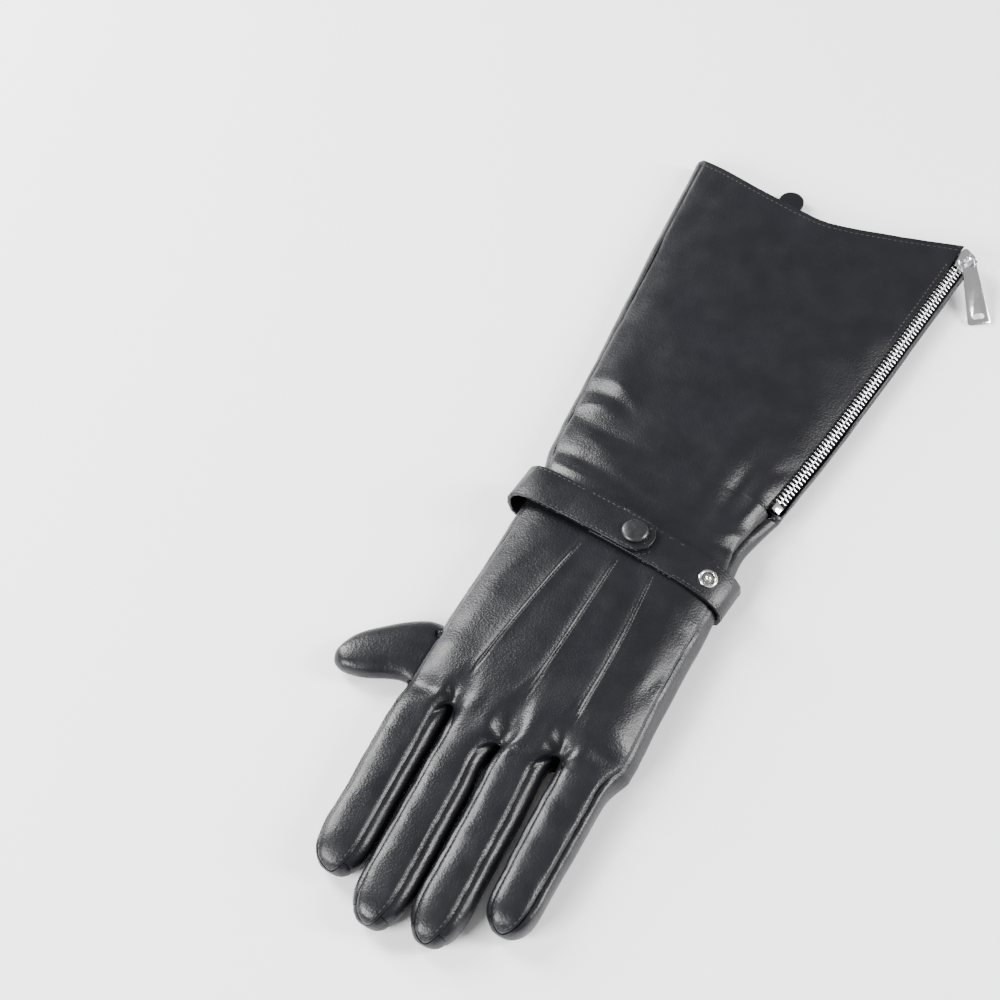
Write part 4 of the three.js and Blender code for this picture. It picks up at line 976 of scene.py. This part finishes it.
# zip teeth: one rounded tooth, copied alternately along the line between the two CAD combs
toothLook = {"long": 3.0, "thick": 0.98, "high": 1.55, "edge": 0.3, "pitch": 2.24, "off": 1.12, "sink": 0.1}


def makeToothShape(look):
    deselectAll()
    bpy.ops.mesh.primitive_cube_add(size=1, location=(0, 0, 0))
    tooth = bpy.context.object
    bpy.ops.object.mode_set(mode="EDIT")
    bpy.ops.mesh.select_all(action="SELECT")
    bpy.ops.transform.resize(value=(look["long"] * mm, look["thick"] * mm, look["high"] * mm),
                             center_override=(0, 0, 0))
    bpy.ops.object.mode_set(mode="OBJECT")
    applyModifier(tooth, "BEVEL", width=look["edge"] * mm, segments=2)
    corners = coordsOf(tooth.data)
    faces = [tuple(face.vertices) for face in tooth.data.polygons]
    bpy.data.objects.remove(tooth)
    return corners, faces


def combLine(node, stops):
    coords = coordsOf(nodes[node].data)
    bins = [coords[np.abs(coords[:, 1] - y) < 3.4 * mm] for y in stops]
    line = np.array([(group.min(0) + group.max(0)) / 2 for group in bins])
    line[:, 1] = stops
    fits = [np.polyfit(stops, line[:, axis], 4) for axis in (0, 2)]
    return np.stack([np.polyval(fits[0], stops), stops, np.polyval(fits[1], stops)], axis=1)


def makeTeeth(side, node, name, look):
    corners, faces = makeToothShape(look)
    low = max(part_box("zip_teeth_back")[0].y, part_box("zip_teeth_palm")[0].y) + 0.2 * mm
    high = min(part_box("zip_teeth_back")[1].y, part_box("zip_teeth_palm")[1].y) - 0.6 * mm
    stops = np.arange(low, high, look["pitch"] * mm) + (side + 1) * look["pitch"] * mm / 4
    back, palm = combLine("zip_teeth_back", stops), combLine("zip_teeth_palm", stops)
    middle = (back + palm) / 2
    points, polygons = [], []
    for index, spot in enumerate(middle):
        run = Vector(middle[min(index + 1, len(middle) - 1)] - middle[max(index - 1, 0)]).normalized()
        across = Vector(palm[index] - back[index])
        across = (across - run * across.dot(run)).normalized()
        up = across.cross(run)
        turn = np.array([across, run, up])
        centre = spot + np.array(across) * side * look["off"] * mm - np.array(up) * look["sink"] * mm
        start = len(points) * len(corners)
        points.append(corners @ turn + centre)
        polygons += [tuple(start + corner for corner in face) for face in faces]
    piece = meshPiece(name, np.concatenate(points), polygons)
    smoothByAngle(piece, 50)
    print(name, len(points), "teeth", len(polygons), "faces")
    return finishPiece(piece, [polishedNickel], "metal", node)


makeTeeth(-1, "zip_teeth_back", "zipTeethBack", toothLook)
makeTeeth(1, "zip_teeth_palm", "zipTeethPalm", toothLook)
print("hardware ready")


# pale floor, soft light and the photo's view
studio = {
    "floor": (0.95, 0.95, 0.955, 1), "world": 0.44,
    "lights": (
        {"name": "softboxLeft", "place": (-1.2, 0.3, 0.75), "size": (0.5, 1.0), "power": 54},
        {"name": "softboxRight", "place": (1.2, 0.55, 0.75), "size": (0.45, 0.9), "power": 46},
        {"name": "frontFill", "place": (-0.75, -1.3, 0.95), "size": (0.9, 0.7), "power": 72},
    ),
}
photoView = {"place": (0.210, -0.430, 0.806), "heading": (-0.4847, 0.8747), "down": 55.5,
             "lens": 79.2, "sensor": 36}


def makeFloor():
    deselectAll()
    bpy.ops.mesh.primitive_plane_add(size=8, location=(0, 0, 0))
    floor = bpy.context.object
    floor.name = "floor"
    finish = Finish("paleFloor")
    mottle = finish.noise(4, detail=3)
    finish.tint(mottle, "Fac", studio["floor"], tuple(min(value * 1.02, 1) for value in studio["floor"]))
    finish.shader.inputs["Roughness"].default_value = 0.7
    floor.data.materials.append(finish.material)
    return floor


def makeLights():
    lights = []
    for row in studio["lights"]:
        data = bpy.data.lights.new(row["name"], "AREA")
        data.shape = "RECTANGLE"
        data.size, data.size_y = row["size"]
        data.energy = row["power"]
        light = bpy.data.objects.new(row["name"], data)
        light.location = row["place"]
        aim = Vector((0, 0.05, 0)) - Vector(row["place"])
        light.rotation_euler = aim.to_track_quat("-Z", "Y").to_euler()
        bpy.context.scene.collection.objects.link(light)
        lights.append(light)
    world = bpy.data.worlds.new("studioWorld")
    world.use_nodes = True
    world.node_tree.nodes["Background"].inputs["Color"].default_value = (1, 1, 1, 1)
    world.node_tree.nodes["Background"].inputs["Strength"].default_value = studio["world"]
    bpy.context.scene.world = world
    return lights


def makeCamera(view):
    data = bpy.data.cameras.new("photoView")
    data.lens = view["lens"]
    data.sensor_width = view["sensor"]
    camera = bpy.data.objects.new("photoView", data)
    camera.location = view["place"]
    down = math.radians(view["down"])
    east, north = view["heading"]
    look = Vector((east * math.cos(down), north * math.cos(down), -math.sin(down)))
    camera.rotation_euler = look.to_track_quat("-Z", "Y").to_euler()
    bpy.context.scene.collection.objects.link(camera)
    bpy.context.scene.camera = camera


floor = makeFloor()
makeLights()
makeCamera(photoView)
print("studio ready")
